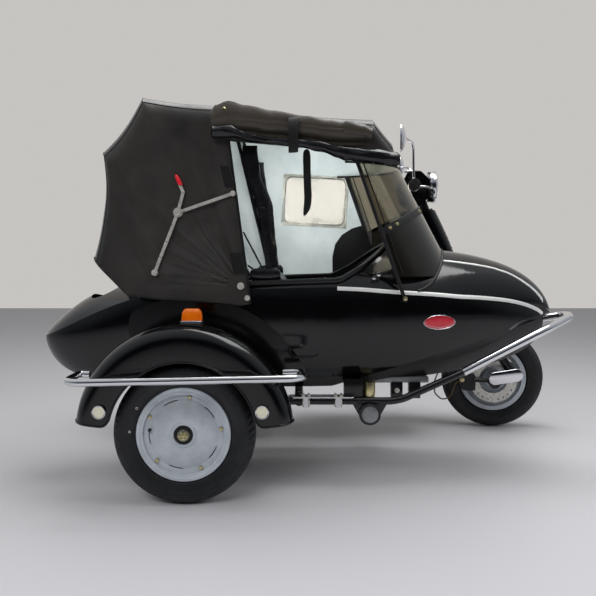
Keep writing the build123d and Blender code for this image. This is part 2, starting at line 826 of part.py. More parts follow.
glove_half = 150
glove_rear_x = 352
glove_low_z = 636
glove_high_z = 838


def glove_box():
    outer = block(glove_rear_x, 560, scooter_y - glove_half, scooter_y + glove_half, glove_low_z, glove_high_z)
    inner = block(glove_rear_x - 10, 556, scooter_y - glove_half + 5, scooter_y + glove_half - 5,
                  glove_low_z + 5, glove_high_z - 5)
    shell = (outer - inner) - shield_loft(-300) - shield_loft(shield_thickness)
    head_tube = rod((column_x(560), scooter_y, 560), (column_x(990), scooter_y, 990), head_tube_radius + 1)
    return shell - head_tube - tube(down_tube_path, down_tube_bend, down_tube_radius + 1)


def glove_box_lid():
    lid = block(glove_rear_x - 7, glove_rear_x - 0.5, scooter_y - glove_half, scooter_y + glove_half,
                glove_low_z, glove_high_z)
    return fillet(lid.edges().filter_by(Axis.X), 14)


# Steering, built straight and then turned to rest

steer_axis = Axis((steer_x, scooter_y, steer_z),
                  (-math.sin(math.radians(steer_rake)), 0, math.cos(math.radians(steer_rake))))
fork_y = scooter_y - 86
link_pivot = (832, 248)
disc_y = scooter_y - 58


# the fork is one tube that passes beside the wheel and carries it on a trailing link
fork_path = [(column_x(985), scooter_y, 985), (column_x(530), scooter_y, 530), (700, fork_y, 452),
             (800, fork_y, 300), (link_pivot[0], fork_y, link_pivot[1])]
fork_bends = [60, 60, 50]


def at_rest(solid):
    return solid.rotate(steer_axis, -steer_rest_turn)


def fork():
    pivot_x, pivot_z = link_pivot
    leg = tube(fork_path, fork_bends, column_radius)
    leg += rod((pivot_x, fork_y - 24, pivot_z), (pivot_x, fork_y + 20, pivot_z), 26)
    reach = math.dist((front_axle_x, axle_z), link_pivot)
    slope = math.degrees(math.atan2(pivot_z - axle_z, pivot_x - front_axle_x))
    middle = Pos((front_axle_x + pivot_x) / 2, (axle_z + pivot_z) / 2)
    link = middle * Rot(0, 0, slope) * SlotCenterToCenter(reach, 40)
    leg += side_prism(link, fork_y - 30, fork_y - 21)
    leg += rod((front_axle_x, fork_y - 34, axle_z), (front_axle_x, fork_y + 14, axle_z), 26)
    leg += rod((front_axle_x, fork_y + 10, axle_z), (front_axle_x, scooter_y + 36, axle_z), 12.4)
    return leg


# where the front mudguard starts and ends, in degrees over the top from the front
guard_front = 54
guard_rear = 172


def front_mudguard():
    half = 74
    shoulder = 214
    crown = 250
    t = 4
    shell = make_face([
        Line((shoulder - 26, -half), (shoulder, -half)),
        ThreePointArc((shoulder, -half), (crown, 0), (shoulder, half)),
        Line((shoulder, half), (shoulder - 26, half)),
        Line((shoulder - 26, half), (shoulder - 26, half - t)),
        Line((shoulder - 26, half - t), (shoulder, half - t)),
        ThreePointArc((shoulder, half - t), (crown - t, 0), (shoulder, t - half)),
        Line((shoulder, t - half), (shoulder - 26, t - half)),
        Line((shoulder - 26, t - half), (shoulder - 26, -half)),
    ])
    guard = turned(shell, front_axle_x, scooter_y, axle_z, guard_rear - guard_front, guard_front)
    return guard - tube(fork_path, fork_bends, column_radius + 0.3)


def headset():
    outline = Polygon((366, 962), (358, 1040), (384, 1094), (440, 1101), (477, 1066), (474, 990), (440, 950),
                      align=None)
    casting = side_prism(outline, scooter_y - 62, scooter_y + 62)
    casting = fillet(casting.edges().filter_by(Axis.Y), 14)
    casting += rod((408, scooter_y - 262, 1034), (408, scooter_y + 262, 1034), 17)
    casting += rod((470, scooter_y, 1034), (500, scooter_y, 1034), 64)
    for side in (-1, 1):
        y = scooter_y + side * 226
        casting += rod((408, y - 10, 1034), (408, y + 10, 1034), 21)
    return casting - rod(fork_path[1], (column_x(985.5), scooter_y, 985.5), column_radius + 0.3)


def headlamp():
    outline = make_face([
        Line((0, 0), (0, 60)),
        Line((0, 60), (4, 60)),
        cap_arc(4, 60, 12),
        Line((16, 0), (0, 0)),
    ])
    lens = revolve(Plane(origin=(500.3, scooter_y, 1034)) * outline, Axis((500, scooter_y, 1034), (1, 0, 0)))
    return lens


def grips():
    grip = rod((408, scooter_y - 262.3, 1034), (408, scooter_y - 372, 1034), 18)
    return both_sides(grip, scooter_y)


def levers():
    lever = tube([(429.5, scooter_y - 226, 1030), (462, scooter_y - 228, 1028), (466, scooter_y - 366, 1022)],
                 [16], 5)
    return both_sides(lever, scooter_y)


def mirror_arm(side, height):
    y = scooter_y + side * 200
    head_y = scooter_y + side * 301
    path = [(408, y, 1051.3), (404, y + side * 4, height - 12), (372, head_y, height)]
    stem = tube(path, [30], 5)
    head = revolve(Plane(origin=(352, head_y, height)) * make_face([
        Line((0, 0), (0, 54)),
        Line((0, 54), (5, 56)),
        cap_arc(5, 56, 19),
        Line((24, 0), (0, 0)),
    ]), Axis((352, head_y, height), (1, 0, 0)))
    return stem + head


def mirrors():
    return [mirror_arm(-1, 1215), mirror_arm(1, 1137)]


def brake_caliper():
    body = block(626, 684, disc_y - 20, disc_y + 16, 168, 238)
    body = fillet(body.edges().filter_by(Axis.Y), 12)
    gap = rod((front_axle_x, disc_y - 7, axle_z), (front_axle_x, disc_y + 7, axle_z), 112)
    bridge = rod((676, fork_y + 4, axle_z), (front_axle_x - 26.3, fork_y + 4, axle_z), 9)
    return (body - gap) + bridge


def front_disc():
    ring = rod((front_axle_x, disc_y - 2, axle_z), (front_axle_x, disc_y + 2, axle_z), 100)
    ring -= rod((front_axle_x, disc_y - 4, axle_z), (front_axle_x, disc_y + 4, axle_z), 59.8)
    axle = Axis((front_axle_x, scooter_y, axle_z), (0, 1, 0))
    drill = rod((front_axle_x + 88, disc_y - 4, axle_z), (front_axle_x + 88, disc_y + 4, axle_z), 4)
    for turn in range(24):
        ring -= drill.rotate(axle, 15 * turn)
    return ring


def brake_hose():
    points = [(625.7, disc_y - 8, 200), (602, disc_y - 9, 200), (582, disc_y - 12, 138), (545, disc_y - 12, 122),
              (512, disc_y - 10, 152), (514, disc_y - 10, 212), (560, disc_y - 8, 320), (612, disc_y - 4, 420),
              (628, disc_y + 10, 500)]
    return tube(points, [12, 24, 26, 30, 40, 80, 60], 3)


nodes = {
    "sidecar_tub": sidecar_tub(),
    "belly_pan": belly_pan(),
    "coaming": coaming(),
    "seat_cushion": seat_cushion(),
    "seat_back": seat_back(),
    "screen_lower": screen_sheet_solid() - above_seam(),
    "screen_upper": screen_sheet_solid() & above_seam(),
    "screen_frame": screen_frame(),
    "hood": hood(),
    "hood_window": hood_window(),
    "hood_bows": hood_bows(),
    "landau_irons": landau_irons(),
    "curtain_roll": curtain_roll(),
    "roof_flap": roof_flap(),
    "side_strips": side_strips(),
    "nose_hoop": nose_hoop(),
    "sidecar_frame": sidecar_frame(),
    "upper_strut": upper_strut(),
    "trailing_arm": trailing_arm(),
    "fender": fender(),
    "fender_hoop": fender_hoop(),
    "fender_lamp_base": fender_lamp_base(),
    "fender_lamp_lens": fender_lamp_lens(),
    "reflectors": reflectors(),
    "step_plate": step_plate(),
    "sidecar_tyre": tyre(sidecar_axle_x, sidecar_wheel_y, axle_z),
    "sidecar_rim": rim(sidecar_axle_x, sidecar_wheel_y, axle_z, -1),
    "sidecar_hub": hub(sidecar_axle_x, sidecar_wheel_y, axle_z, -1),
    "scooter_body": scooter_body(),
    "legshield": legshield(),
    "horn_cover": horn_cover(),
    "floorboard": floorboard(),
    "left_cowl": left_cowl(),
    "right_cowl": mirror(left_cowl(), Plane.XZ.offset(-scooter_y)),
    "engine_block": engine_block(),
    "exhaust": exhaust(),
    "pedals": pedals(),
    "tail_lamp": tail_lamp(),
    "plate_bracket": plate_bracket(),
    "glove_box": glove_box(),
    "glove_box_lid": glove_box_lid(),
    "saddle": saddle(),
    "centre_stand": centre_stand(),
    "rear_tyre": tyre(rear_axle_x, scooter_y, axle_z),
    "rear_rim": rim(rear_axle_x, scooter_y, axle_z, 1) + hub(rear_axle_x, scooter_y, axle_z, 1),
    "fork": at_rest(fork()),
    "front_mudguard": at_rest(front_mudguard()),
    "headset": at_rest(headset()),
    "headlamp": at_rest(headlamp()),
    "grips": [at_rest(solid) for solid in grips()],
    "levers": [at_rest(solid) for solid in levers()],
    "mirrors": [at_rest(solid) for solid in mirrors()],
    "brake_caliper": at_rest(brake_caliper()),
    "brake_hose": at_rest(brake_hose()),
    "front_tyre": at_rest(tyre(front_axle_x, scooter_y, axle_z)),
    "front_rim": at_rest(rim(front_axle_x, scooter_y, axle_z, 1) + hub(front_axle_x, scooter_y, axle_z, -1)),
    "front_disc": at_rest(front_disc()),
}

os.makedirs("parts", exist_ok=True)
for name, made in nodes.items():
    solids = made if isinstance(made, list) else [made]
    export_step(Compound(children=solids) if len(solids) > 1 else solids[0], "parts/" + name + ".step")
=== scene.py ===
import math

import bmesh
import bpy
from mathutils import Matrix, Vector, noise
from mathutils.bvhtree import BVHTree


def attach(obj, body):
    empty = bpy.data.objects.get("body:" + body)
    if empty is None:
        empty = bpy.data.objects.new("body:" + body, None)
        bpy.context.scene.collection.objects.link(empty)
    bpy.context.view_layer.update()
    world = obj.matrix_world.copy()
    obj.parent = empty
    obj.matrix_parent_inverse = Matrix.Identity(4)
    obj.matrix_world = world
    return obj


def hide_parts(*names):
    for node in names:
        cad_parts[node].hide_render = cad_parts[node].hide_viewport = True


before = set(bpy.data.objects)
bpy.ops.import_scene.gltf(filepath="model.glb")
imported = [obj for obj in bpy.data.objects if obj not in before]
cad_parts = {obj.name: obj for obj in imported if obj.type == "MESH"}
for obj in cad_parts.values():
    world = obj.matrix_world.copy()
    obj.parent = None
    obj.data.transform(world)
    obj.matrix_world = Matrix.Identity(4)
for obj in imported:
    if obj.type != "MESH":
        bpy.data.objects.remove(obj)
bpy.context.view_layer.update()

# A black scooter with a hooded sidecar. Metres, +X forward, +Y to the scooter's side, +Z up.

tubY = -0.224        # centre plane of the sidecar
scooterY = 0.376     # centre plane of the scooter
wheelY = -0.624      # centre plane of the sidecar's wheel
axleZ = 0.215
sidecarAxle = (-0.425, wheelY, axleZ)
frontAxle = (0.76, scooterY, axleZ)
rearAxle = (-0.5, scooterY, axleZ)


# Small helpers

def mm(value):
    return value / 1000


def turns(count):
    return [math.tau * i / count for i in range(count)]


def easeIn(value, low, high):
    share = min(1, max(0, (value - low) / (high - low)))
    return share * share * (3 - 2 * share)


def newObject(name, data):
    obj = bpy.data.objects.new(name, data)
    bpy.context.scene.collection.objects.link(obj)
    return obj


def pick(*objs):
    bpy.ops.object.select_all(action="DESELECT")
    for obj in objs:
        obj.select_set(True)
    bpy.context.view_layer.objects.active = objs[0]
    return objs[0]


def settle(obj):
    # the place, turn and size go into the mesh
    pick(obj)
    bpy.ops.object.transform_apply(location=True, rotation=True, scale=True)
    return obj


def addModifier(obj, kind, **settings):
    pick(obj)
    modifier = obj.modifiers.new(kind.title(), kind)
    for key, value in settings.items():
        setattr(modifier, key, value)
    bpy.ops.object.modifier_apply(modifier=modifier.name)
    return obj


def smooth(obj, degrees=32):
    pick(obj)
    bpy.ops.object.shade_smooth_by_angle(angle=math.radians(degrees))
    return obj


def bevelEdges(obj, width, segments=2):
    return addModifier(obj, "BEVEL", width=width, segments=segments, limit_method="ANGLE",
                       angle_limit=math.radians(50))


def thicken(obj, thick, degrees, offset=-1):
    return smooth(addModifier(obj, "SOLIDIFY", thickness=mm(thick), offset=offset), degrees)


def editAll(obj, *steps):
    # mesh operators run on the whole of a piece
    pick(obj)
    bpy.ops.object.mode_set(mode="EDIT")
    bpy.ops.mesh.select_all(action="SELECT")
    for step, settings in steps:
        step(**settings)
    bpy.ops.object.mode_set(mode="OBJECT")
    return obj


def fixNormals(obj):
    return editAll(obj, (bpy.ops.mesh.remove_doubles, {"threshold": 0.00001}),
                   (bpy.ops.mesh.normals_make_consistent, {"inside": False}))


def faceOut(obj, index, way):
    # an open skin has no inside, so one of its faces says which way is out
    fixNormals(obj)
    if obj.data.polygons[index].normal.dot(Vector(way)) < 0:
        obj.data.flip_normals()
    return obj


def joinAll(pieces):
    pick(*pieces)
    bpy.ops.object.join()
    return pieces[0]


def finishPiece(obj, name, paint, swaps=(), body="chassis"):
    obj = settle(joinAll(obj) if isinstance(obj, list) else obj)
    obj.name = name
    obj.data.name = name
    if paint:
        obj.data.materials.clear()
        obj.data.materials.append(paints[paint])
    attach(obj, body)
    if swaps:
        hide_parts(*swaps)
    return obj


def meshFrom(points, faces, edges=()):
    mesh = bpy.data.meshes.new("mesh")
    mesh.from_pydata([tuple(point) for point in points], edges, faces)
    mesh.update()
    return newObject("mesh", mesh)


def gridFrom(rows, closed=False):
    # rows of points, each as long as the first, joined by four-sided faces
    width = len(rows[0])
    faces = []
    for i in range(len(rows) - 1):
        for j in range(width if closed else width - 1):
            k = (j + 1) % width
            faces.append((i * width + j, i * width + k, (i + 1) * width + k, (i + 1) * width + j))
    return meshFrom([point for row in rows for point in row], faces)


def addRod(start, end, radius, sides=32, bevel=0.0006):
    start, end = Vector(start), Vector(end)
    along = end - start
    bpy.ops.mesh.primitive_cylinder_add(vertices=sides, radius=radius, depth=along.length,
                                        location=(start + end) / 2,
                                        rotation=along.to_track_quat("Z", "Y").to_euler())
    rod = settle(bpy.context.object)
    if bevel:
        bevelEdges(rod, min(bevel, along.length / 3))
    return smooth(rod)


def addBlock(low, high, bevel):
    low, high = Vector(low), Vector(high)
    bpy.ops.mesh.primitive_cube_add(size=1, location=(low + high) / 2)
    block = bpy.context.object
    block.scale = high - low
    return smooth(bevelEdges(settle(block), bevel))


def addSpin(outline, centre, axis="Y", steps=64):
    # an outline of (out from the axle, along the axle) pairs in mm, spun about the axle
    line = Vector([letter == axis for letter in "XYZ"])
    out = Vector((0, 1, 0) if axis == "X" else (1, 0, 0))
    points = [Vector(centre) + out * mm(a) + line * mm(b) for a, b in outline]
    obj = meshFrom(points, [], [(i, i + 1) for i in range(len(points) - 1)])
    editAll(obj, (bpy.ops.mesh.spin, {"steps": steps, "angle": math.tau, "center": centre, "axis": line}))
    return smooth(fixNormals(obj))


def addTube(points, radius, sides=8, closed=False):
    # a bar or piping along points; a line of many points needs fewer steps between them
    curve = bpy.data.curves.new("tube", "CURVE")
    curve.dimensions = "3D"
    spline = curve.splines.new("NURBS")
    spline.points.add(len(points) - 1)
    for spot, place in zip(spline.points, points):
        spot.co = (*place, 1)
    spline.use_cyclic_u = closed
    spline.order_u = 3
    spline.use_endpoint_u = not closed
    spline.resolution_u = 10 if len(points) < 30 else 3
    curve.bevel_depth = radius
    curve.bevel_resolution = sides // 2 - 1
    curve.use_fill_caps = not closed
    pick(newObject("tube", curve))
    bpy.ops.object.convert(target="MESH")
    return smooth(bpy.context.object, 40)


def addBolt(spot, out, radius, height, sides=6, washer=1.5):
    # a dished screw head on its washer; out is the way it points
    spot = Vector(spot)
    out = Vector(out).normalized()
    plate = addRod(spot, spot + out * height * 0.25, radius * washer, 28, height * 0.06)
    head = addRod(spot + out * height * 0.25, spot + out * height, radius, sides, 0)
    editAll(head, (bpy.ops.mesh.select_all, {"action": "DESELECT"}))
    for face in head.data.polygons:
        face.select = face.normal.dot(out) > 0.9
    bpy.ops.object.mode_set(mode="EDIT")
    bpy.ops.mesh.inset(thickness=radius * 0.2, depth=0)
    bpy.ops.transform.translate(value=out * height * 0.12)
    bpy.ops.object.mode_set(mode="OBJECT")
    return joinAll([plate, head])


def capEnds(obj, degrees=50):
    # closes a tube's open ends and turns every face outwards
    mesh = bmesh.new()
    mesh.from_mesh(obj.data)
    bmesh.ops.holes_fill(mesh, edges=[edge for edge in mesh.edges if edge.is_boundary])
    mesh.to_mesh(obj.data)
    mesh.free()
    return smooth(fixNormals(obj), degrees)


def curveThrough(points, steps):
    # a smooth line through points of any length, with so many steps between two of them
    spots = [points[0]] + list(points) + [points[-1]]
    line = []
    for i in range(1, len(spots) - 2):
        for step in range(steps):
            t = step / steps
            line.append([0.5 * (2 * b + (c - a) * t + (2 * a - 5 * b + 4 * c - d) * t * t
                                + (3 * b - a - 3 * c + d) * t * t * t)
                         for a, b, c, d in zip(*spots[i - 1:i + 3])])
    return line + [list(points[-1])]


def wheelSpot(place, out, across, angle=0.0):
    # a point out from a wheel's axle and across from its middle, in mm
    return Vector(place) + Vector((mm(out) * math.cos(angle), mm(across), mm(out) * math.sin(angle)))


def worldMesh(obj):
    return ([obj.matrix_world @ vertex.co for vertex in obj.data.vertices],
            [tuple(face.vertices) for face in obj.data.polygons])


surfaceTrees = {}


def dropOn(name, start, way, lift=0.0):
    # where a straight line from start first meets a CAD piece, lifted off its skin by so many mm
    if name not in surfaceTrees:
        surfaceTrees[name] = BVHTree.FromPolygons(*worldMesh(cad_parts[name]))
    place, normal, _, _ = surfaceTrees[name].ray_cast(Vector(start), Vector(way))
    if place is None:
        return None
    return place + (normal if normal.dot(Vector(way)) < 0 else -normal) * mm(lift)


# parts made straight ahead are turned about the steering axis to where the steering stands at rest
steerPoint, steerAxis, steerDegrees = Vector((0.43, 0.376, 1.02)), Vector((-0.374607, 0, 0.927184)), -8
steerRest = (Matrix.Translation(steerPoint) @ Matrix.Rotation(math.radians(steerDegrees), 4, steerAxis)
             @ Matrix.Translation(-steerPoint))


# Materials

def hexColour(code):
    # an sRGB hex value as linear light
    channels = [int(code[i:i + 2], 16) / 255 for i in (1, 3, 5)]
    return [c / 12.92 if c <= 0.04045 else ((c + 0.055) / 1.055) ** 2.4 for c in channels] + [1.0]


def addNode(tree, kind, settings=None, links=None):
    node = tree.nodes.new("ShaderNode" + kind)
    for key, value in (settings or {}).items():
        if isinstance(key, int) or key in node.inputs:
            node.inputs[key].default_value = value
        else:
            setattr(node, key, value)
    for key, source in (links or {}).items():
        tree.links.new(source, node.inputs[key])
    return node


def newPaint(name):
    paint = bpy.data.materials.new(name)
    paint.use_nodes = True
    paint.node_tree.nodes.clear()
    return paint, paint.node_tree


def setStops(ramp, stops):
    while len(ramp.elements) < len(stops):
        ramp.elements.new(0.5)
    for stop, (position, code) in zip(ramp.elements, stops):
        stop.position = position
        stop.color = hexColour(code)


sockets = {"rough": "Roughness", "metal": "Metallic", "clear": "Transmission Weight", "ior": "IOR",
           "sheen": "Sheen Weight", "sheenRough": "Sheen Roughness", "coat": "Coat Weight"}


def makeFinish(name, look):
    # patches: size in mm, two colours and where the change lies; polish: size in mm and two roughnesses;
    # relief: rows of pattern, size in mm, height in mm, strength; stretch squeezes a pattern along one way
    paint, tree = newPaint(name)
    shader = addNode(tree, "BsdfPrincipled", {"Base Color": hexColour(look["colour"])})
    for key, socket in sockets.items():
        if key in look:
            shader.inputs[socket].default_value = look[key]
    addNode(tree, "OutputMaterial", links={"Surface": shader.outputs[0]})
    place = addNode(tree, "TexCoord").outputs["Object"]
    if "stretch" in look:
        place = addNode(tree, "Mapping", {"Scale": look["stretch"]}, {"Vector": place}).outputs[0]
    if "patches" in look:
        size, first, second, low, high = look["patches"]
        cloud = addNode(tree, "TexNoise", {"Scale": 1000 / size, "Detail": 6.0, "Roughness": 0.6},
                        {"Vector": place})
        ramp = addNode(tree, "ValToRGB", links={"Fac": cloud.outputs["Fac"]})
        setStops(ramp.color_ramp, [(low, first), (high, second)])
        tree.links.new(ramp.outputs["Color"], shader.inputs["Base Color"])
    if "polish" in look:
        size, low, high = look["polish"]
        cloud = addNode(tree, "TexNoise", {"Scale": 1000 / size, "Detail": 5.0}, {"Vector": place})
        spread = addNode(tree, "MapRange", {"From Min": 0.3, "From Max": 0.7, "To Min": low, "To Max": high},
                         {"Value": cloud.outputs["Fac"]})
        tree.links.new(spread.outputs["Result"], shader.inputs["Roughness"])
    normal = None
    for kind, size, height, strength in look.get("relief", ()):
        pattern = addNode(tree, "Tex" + kind, {"Scale": 1000 / size}, {"Vector": place})
        if kind == "Noise":
            pattern.inputs["Detail"].default_value = 4.0
        source = pattern.outputs["Distance" if kind == "Voronoi" else "Fac"]
        bump = addNode(tree, "Bump", {"Strength": strength, "Distance": mm(height)}, {"Height": source})
        if normal is not None:
            tree.links.new(normal, bump.inputs["Normal"])
        normal = bump.outputs["Normal"]
    if normal is not None:
        tree.links.new(normal, shader.inputs["Normal"])
    return paint


looks = {
    # sprayed enamel, polished: sharp reflections with a faint orange peel
    "blackEnamel": dict(colour="#050506", rough=0.12, polish=(160, 0.09, 0.2),
                        relief=[("Noise", 9, 0.05, 0.25)]),
    # the same paint left plain below the seam: soft, broad highlights
    "satinBlack": dict(colour="#101011", rough=0.42, polish=(60, 0.36, 0.5), relief=[("Noise", 4, 0.08, 0.3)]),
    # powder coat on tube and brackets: even gloss with a fine dimple
    "blackPowderCoat": dict(colour="#0b0b0c", rough=0.24, polish=(40, 0.18, 0.34),
                            relief=[("Noise", 3, 0.1, 0.35)]),
    # plated steel: a mirror with a slightly duller haze in places
    "brightChrome": dict(colour="#e3e3e6", metal=1.0, rough=0.07, polish=(50, 0.05, 0.12),
                         relief=[("Noise", 30, 0.05, 0.2)]),
    # rolled aluminium strip, buffed along its length
    "buffedAluminium": dict(colour="#d3d4d6", metal=1.0, rough=0.22, polish=(14, 0.17, 0.32),
                            stretch=(0.15, 1, 1)),
    # aluminium trim strip with painted reflection: a pale, even, part-matt colour stands in for the bright
    # reflections it shows, with a soft lengthways shine
    "reflectionPaintedStrip": dict(colour="#d9d9d6", metal=0.35, rough=0.4, polish=(14, 0.32, 0.48), stretch=(0.15, 1, 1)),
    # silver-grey enamel on pressed steel
    "silverEnamel": dict(colour="#b2b8bf", metal=0.3, rough=0.32, polish=(30, 0.28, 0.42),
                         patches=(45, "#aab0b7", "#bac0c6", 0.35, 0.65), relief=[("Noise", 5, 0.05, 0.3)]),
    # sand-cast aluminium, left as it came: grainy and grey
    "castAluminium": dict(colour="#8c8e90", metal=0.8, rough=0.45, relief=[("Noise", 2.2, 0.25, 0.5)],
                          patches=(35, "#7e8082", "#999b9d", 0.35, 0.65)),
    # turned or sawn steel with a thin oil film
    "bareSteel": dict(colour="#cfccc4", metal=0.6, rough=0.36, patches=(24, "#c2bfb6", "#dddbd4", 0.35, 0.65),
                      polish=(12, 0.22, 0.42)),
    # yellow-passivated zinc on small screws
    "zincScrew": dict(colour="#c9bd86", metal=1.0, rough=0.32, patches=(7, "#b9a868", "#dcd6b4", 0.35, 0.65)),
    # vulcanised rubber, matt and a little dusty
    "tyreRubber": dict(colour="#131415", rough=0.6, patches=(60, "#101112", "#191a1c", 0.35, 0.7),
                       polish=(22, 0.46, 0.66), relief=[("Noise", 1.6, 0.15, 0.35)]),
    # moulded rubber of grips and mats
    "mouldedRubber": dict(colour="#121213", rough=0.6, polish=(10, 0.5, 0.7), relief=[("Noise", 2, 0.1, 0.3)]),
    # woven strap nylon and its stick-on patches: no shine at all
    "fuzzyNylon": dict(colour="#050506", rough=0.95, sheen=0.35, relief=[("Voronoi", 2.2, 0.5, 0.8)]),
    # vinyl-coated cloth of the hood, outside: grained, soft sheen, brownish in the light
    "hoodVinyl": dict(colour="#282624", rough=0.42, sheen=0.22, sheenRough=0.4,
                      patches=(130, "#211f1e", "#312e2b", 0.3, 0.7), polish=(70, 0.34, 0.52),
                      relief=[("Noise", 38, 1.6, 0.45), ("Noise", 11, 0.5, 0.3), ("Voronoi", 2.0, 0.18, 0.35)]),
    # the same cloth with painted sheen where it is folded up on top: lighter and browner than the hood, with
    # long dull lights
    "sheenPaintedBundleVinyl": dict(colour="#332e28", rough=0.38, sheen=0.25, sheenRough=0.4,
                        patches=(150, "#29251f", "#3c362f", 0.3, 0.7), polish=(70, 0.3, 0.48),
                        relief=[("Noise", 44, 1.6, 0.4), ("Voronoi", 2.0, 0.18, 0.3)]),
    # black trim vinyl on the coaming and seats: finer grain, more gloss
    "trimVinyl": dict(colour="#121213", rough=0.36, polish=(45, 0.3, 0.45),
                      relief=[("Noise", 26, 0.6, 0.3), ("Voronoi", 2.4, 0.2, 0.35)]),
    # the curtain's smooth outer face, rolled tight: wet-looking gloss with long soft dents
    "glossVinyl": dict(colour="#0f0f11", rough=0.22, polish=(40, 0.16, 0.34),
                       relief=[("Noise", 22, 1.2, 0.5), ("Voronoi", 2.2, 0.15, 0.25)]),
    # inner face of the hood's cloth: pale grey, matt, faintly creased
    "greyLining": dict(colour="#b3bbbb", rough=0.7, sheen=0.2, patches=(140, "#a6afaf", "#bec6c5", 0.3, 0.7),
                       relief=[("Noise", 60, 2.2, 0.55), ("Noise", 16, 0.6, 0.35),
                               ("Voronoi", 1.8, 0.12, 0.3)]),
    # injection-moulded lens plastics
    "amberLens": dict(colour="#f0760c", rough=0.16, clear=0.35, ior=1.49, coat=0.4,
                      relief=[("Wave", 7, 0.5, 0.4)]),
    "redLens": dict(colour="#a80d10", rough=0.14, clear=0.3, ior=1.49, relief=[("Voronoi", 6, 0.5, 0.3)]),
    "creamLens": dict(colour="#d8d3bd", rough=0.18, coat=0.6, relief=[("Voronoi", 3.4, 0.6, 0.6)]),
    # soft plastic sleeve on the lever of the hood iron
    "redSleeve": dict(colour="#c9202b", rough=0.3, relief=[("Noise", 3, 0.1, 0.2)]),
    # fired enamel of the badge
    "redBadge": dict(colour="#b3202f", rough=0.14, coat=0.5, polish=(12, 0.1, 0.2)),
    # silvered face of the mirrors
    "mirrorGlass": dict(colour="#f2f4f5", metal=1.0, rough=0.02, polish=(40, 0.01, 0.04)),
    "brownHose": dict(colour="#54432c", rough=0.5, relief=[("Noise", 2, 0.15, 0.4)]),
    "dialFace": dict(colour="#e9e6da", rough=0.35, polish=(10, 0.3, 0.4)),
    # acrylic of the windscreen's upper part, lightly smoked
    "smokedScreen": dict(colour="#9c9684", rough=0.03, clear=1.0, ior=1.49, polish=(60, 0.015, 0.06)),
    # its lower part is tinted nearly black
    "darkScreen": dict(colour="#1d1b16", rough=0.06, clear=0.3, ior=1.49, polish=(60, 0.02, 0.08)),
    # soft vinyl window sewn into the far curtain: wavy, a little milky
    "softWindow": dict(colour="#e8e6dc", rough=0.08, clear=0.92, ior=1.5, relief=[("Noise", 45, 2.5, 0.5)]),
    "lampGlass": dict(colour="#f4f6f6", rough=0.03, clear=0.9, ior=1.5, relief=[("Wave", 9, 0.8, 0.5)]),
}
paints = {name: makeFinish(name, look) for name, look in looks.items()}
print("materials made")


# The CAD pieces that stay as they are, and their finishes

cadFinish = {
    "blackEnamel": "sidecar_tub fender scooter_body legshield horn_cover floorboard left_cowl right_cowl "
                   "glove_box glove_box_lid front_mudguard headset",
    "satinBlack": "belly_pan exhaust fender_lamp_base brake_caliper screen_frame plate_bracket",
    "blackPowderCoat": "sidecar_frame upper_strut trailing_arm centre_stand fork hood_bows",
    "brightChrome": "nose_hoop fender_hoop mirrors",
    "buffedAluminium": "side_strips step_plate levers",
    "silverEnamel": "sidecar_rim rear_rim front_rim",
    "castAluminium": "engine_block sidecar_hub",
    "bareSteel": "front_disc landau_irons pedals",
    "trimVinyl": "coaming seat_cushion seat_back saddle",
    "tyreRubber": "sidecar_tyre rear_tyre front_tyre",
    "mouldedRubber": "grips",
    "brownHose": "brake_hose",
    "smokedScreen": "screen_upper",
    "darkScreen": "screen_lower",
    "softWindow": "hood_window",
    "amberLens": "fender_lamp_lens",
    "redLens": "tail_lamp",
    "creamLens": "reflectors",
    "lampGlass": "headlamp",
    "hoodVinyl": "hood roof_flap curtain_roll",
}
for finish, names in cadFinish.items():
    for name in names.split():
        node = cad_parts[name]
        node.data.materials.clear()
        node.data.materials.append(paints[finish])
print("cad pieces painted")


# The hood: one skin of coated cloth over its bows, grey inside

hoodShape = {
    # foot x, foot z, top x, top z of each arch from the screen to the back flap, in mm
    "arches": [(226, 690, 234, 1054), (205, 672, 214, 1118), (150, 662, 153, 1192), (-262, 590, -340, 1237),
               (-330, 598, -581, 1260), (-430, 606, -710, 1088), (-520, 611, -705, 938),
               (-622, 624, -747, 752)],
    # strips of faces from each arch to the next, and how far the cloth hangs in there, on top and at the sides
    "rows": (4, 6, 44, 26, 20, 14, 18),
    "topSag": (0, 2, 8, 5, 12, 9, 6),
    "sideSag": (0, 0, 4, 5, 6, 5, 3),
    # strips up a side, round a corner and over the top, and the column of the seam along the roof's edge
    "columns": (80, 9, 40), "seam": 84,
    "half": 276, "corner": 62, "crown": 14, "cloth": 2.4,
    "pivot": (-264, 652),
    # creases that run out from the pivot bolt: degrees, half width in degrees, height, start and end, in mm
    "creases": [
        (101, 2.4, 3.6, 90, 400), (106.5, 2.6, -6.0, 60, 470), (117.5, 1.5, 3.0, 90, 900),
        (113, 2.0, -3.0, 240, 640), (124.5, 2.4, -5.0, 50, 380), (130, 2.0, 3.0, 50, 330),
        (135.6, 1.4, 2.4, 240, 900), (139, 2.6, -4.5, 50, 330), (147, 2.4, 2.8, 60, 360),
        (155, 2.8, -4.0, 50, 320), (163, 2.6, 2.8, 50, 380), (171, 3.0, -3.6, 60, 330),
        (179, 2.6, 2.4, 60, 360),
    ],
    # what is cut out of the near side, and of the far side before and under its curtain
    "doorway": [(-232, 500), (-239, 640), (-299, 1104), (100, 1068), (216, 1050), (330, 1046), (330, 500)],
    "ahead": [(262, 600), (258, 690), (118, 1046), (330, 1046), (330, 600)],
    "skirt": [(-236, 500), (-240, 655), (330, 655), (330, 500)],
    "window": {"centre": (-18, 953), "size": (232, 178), "corner": 26, "turn": -3},
}


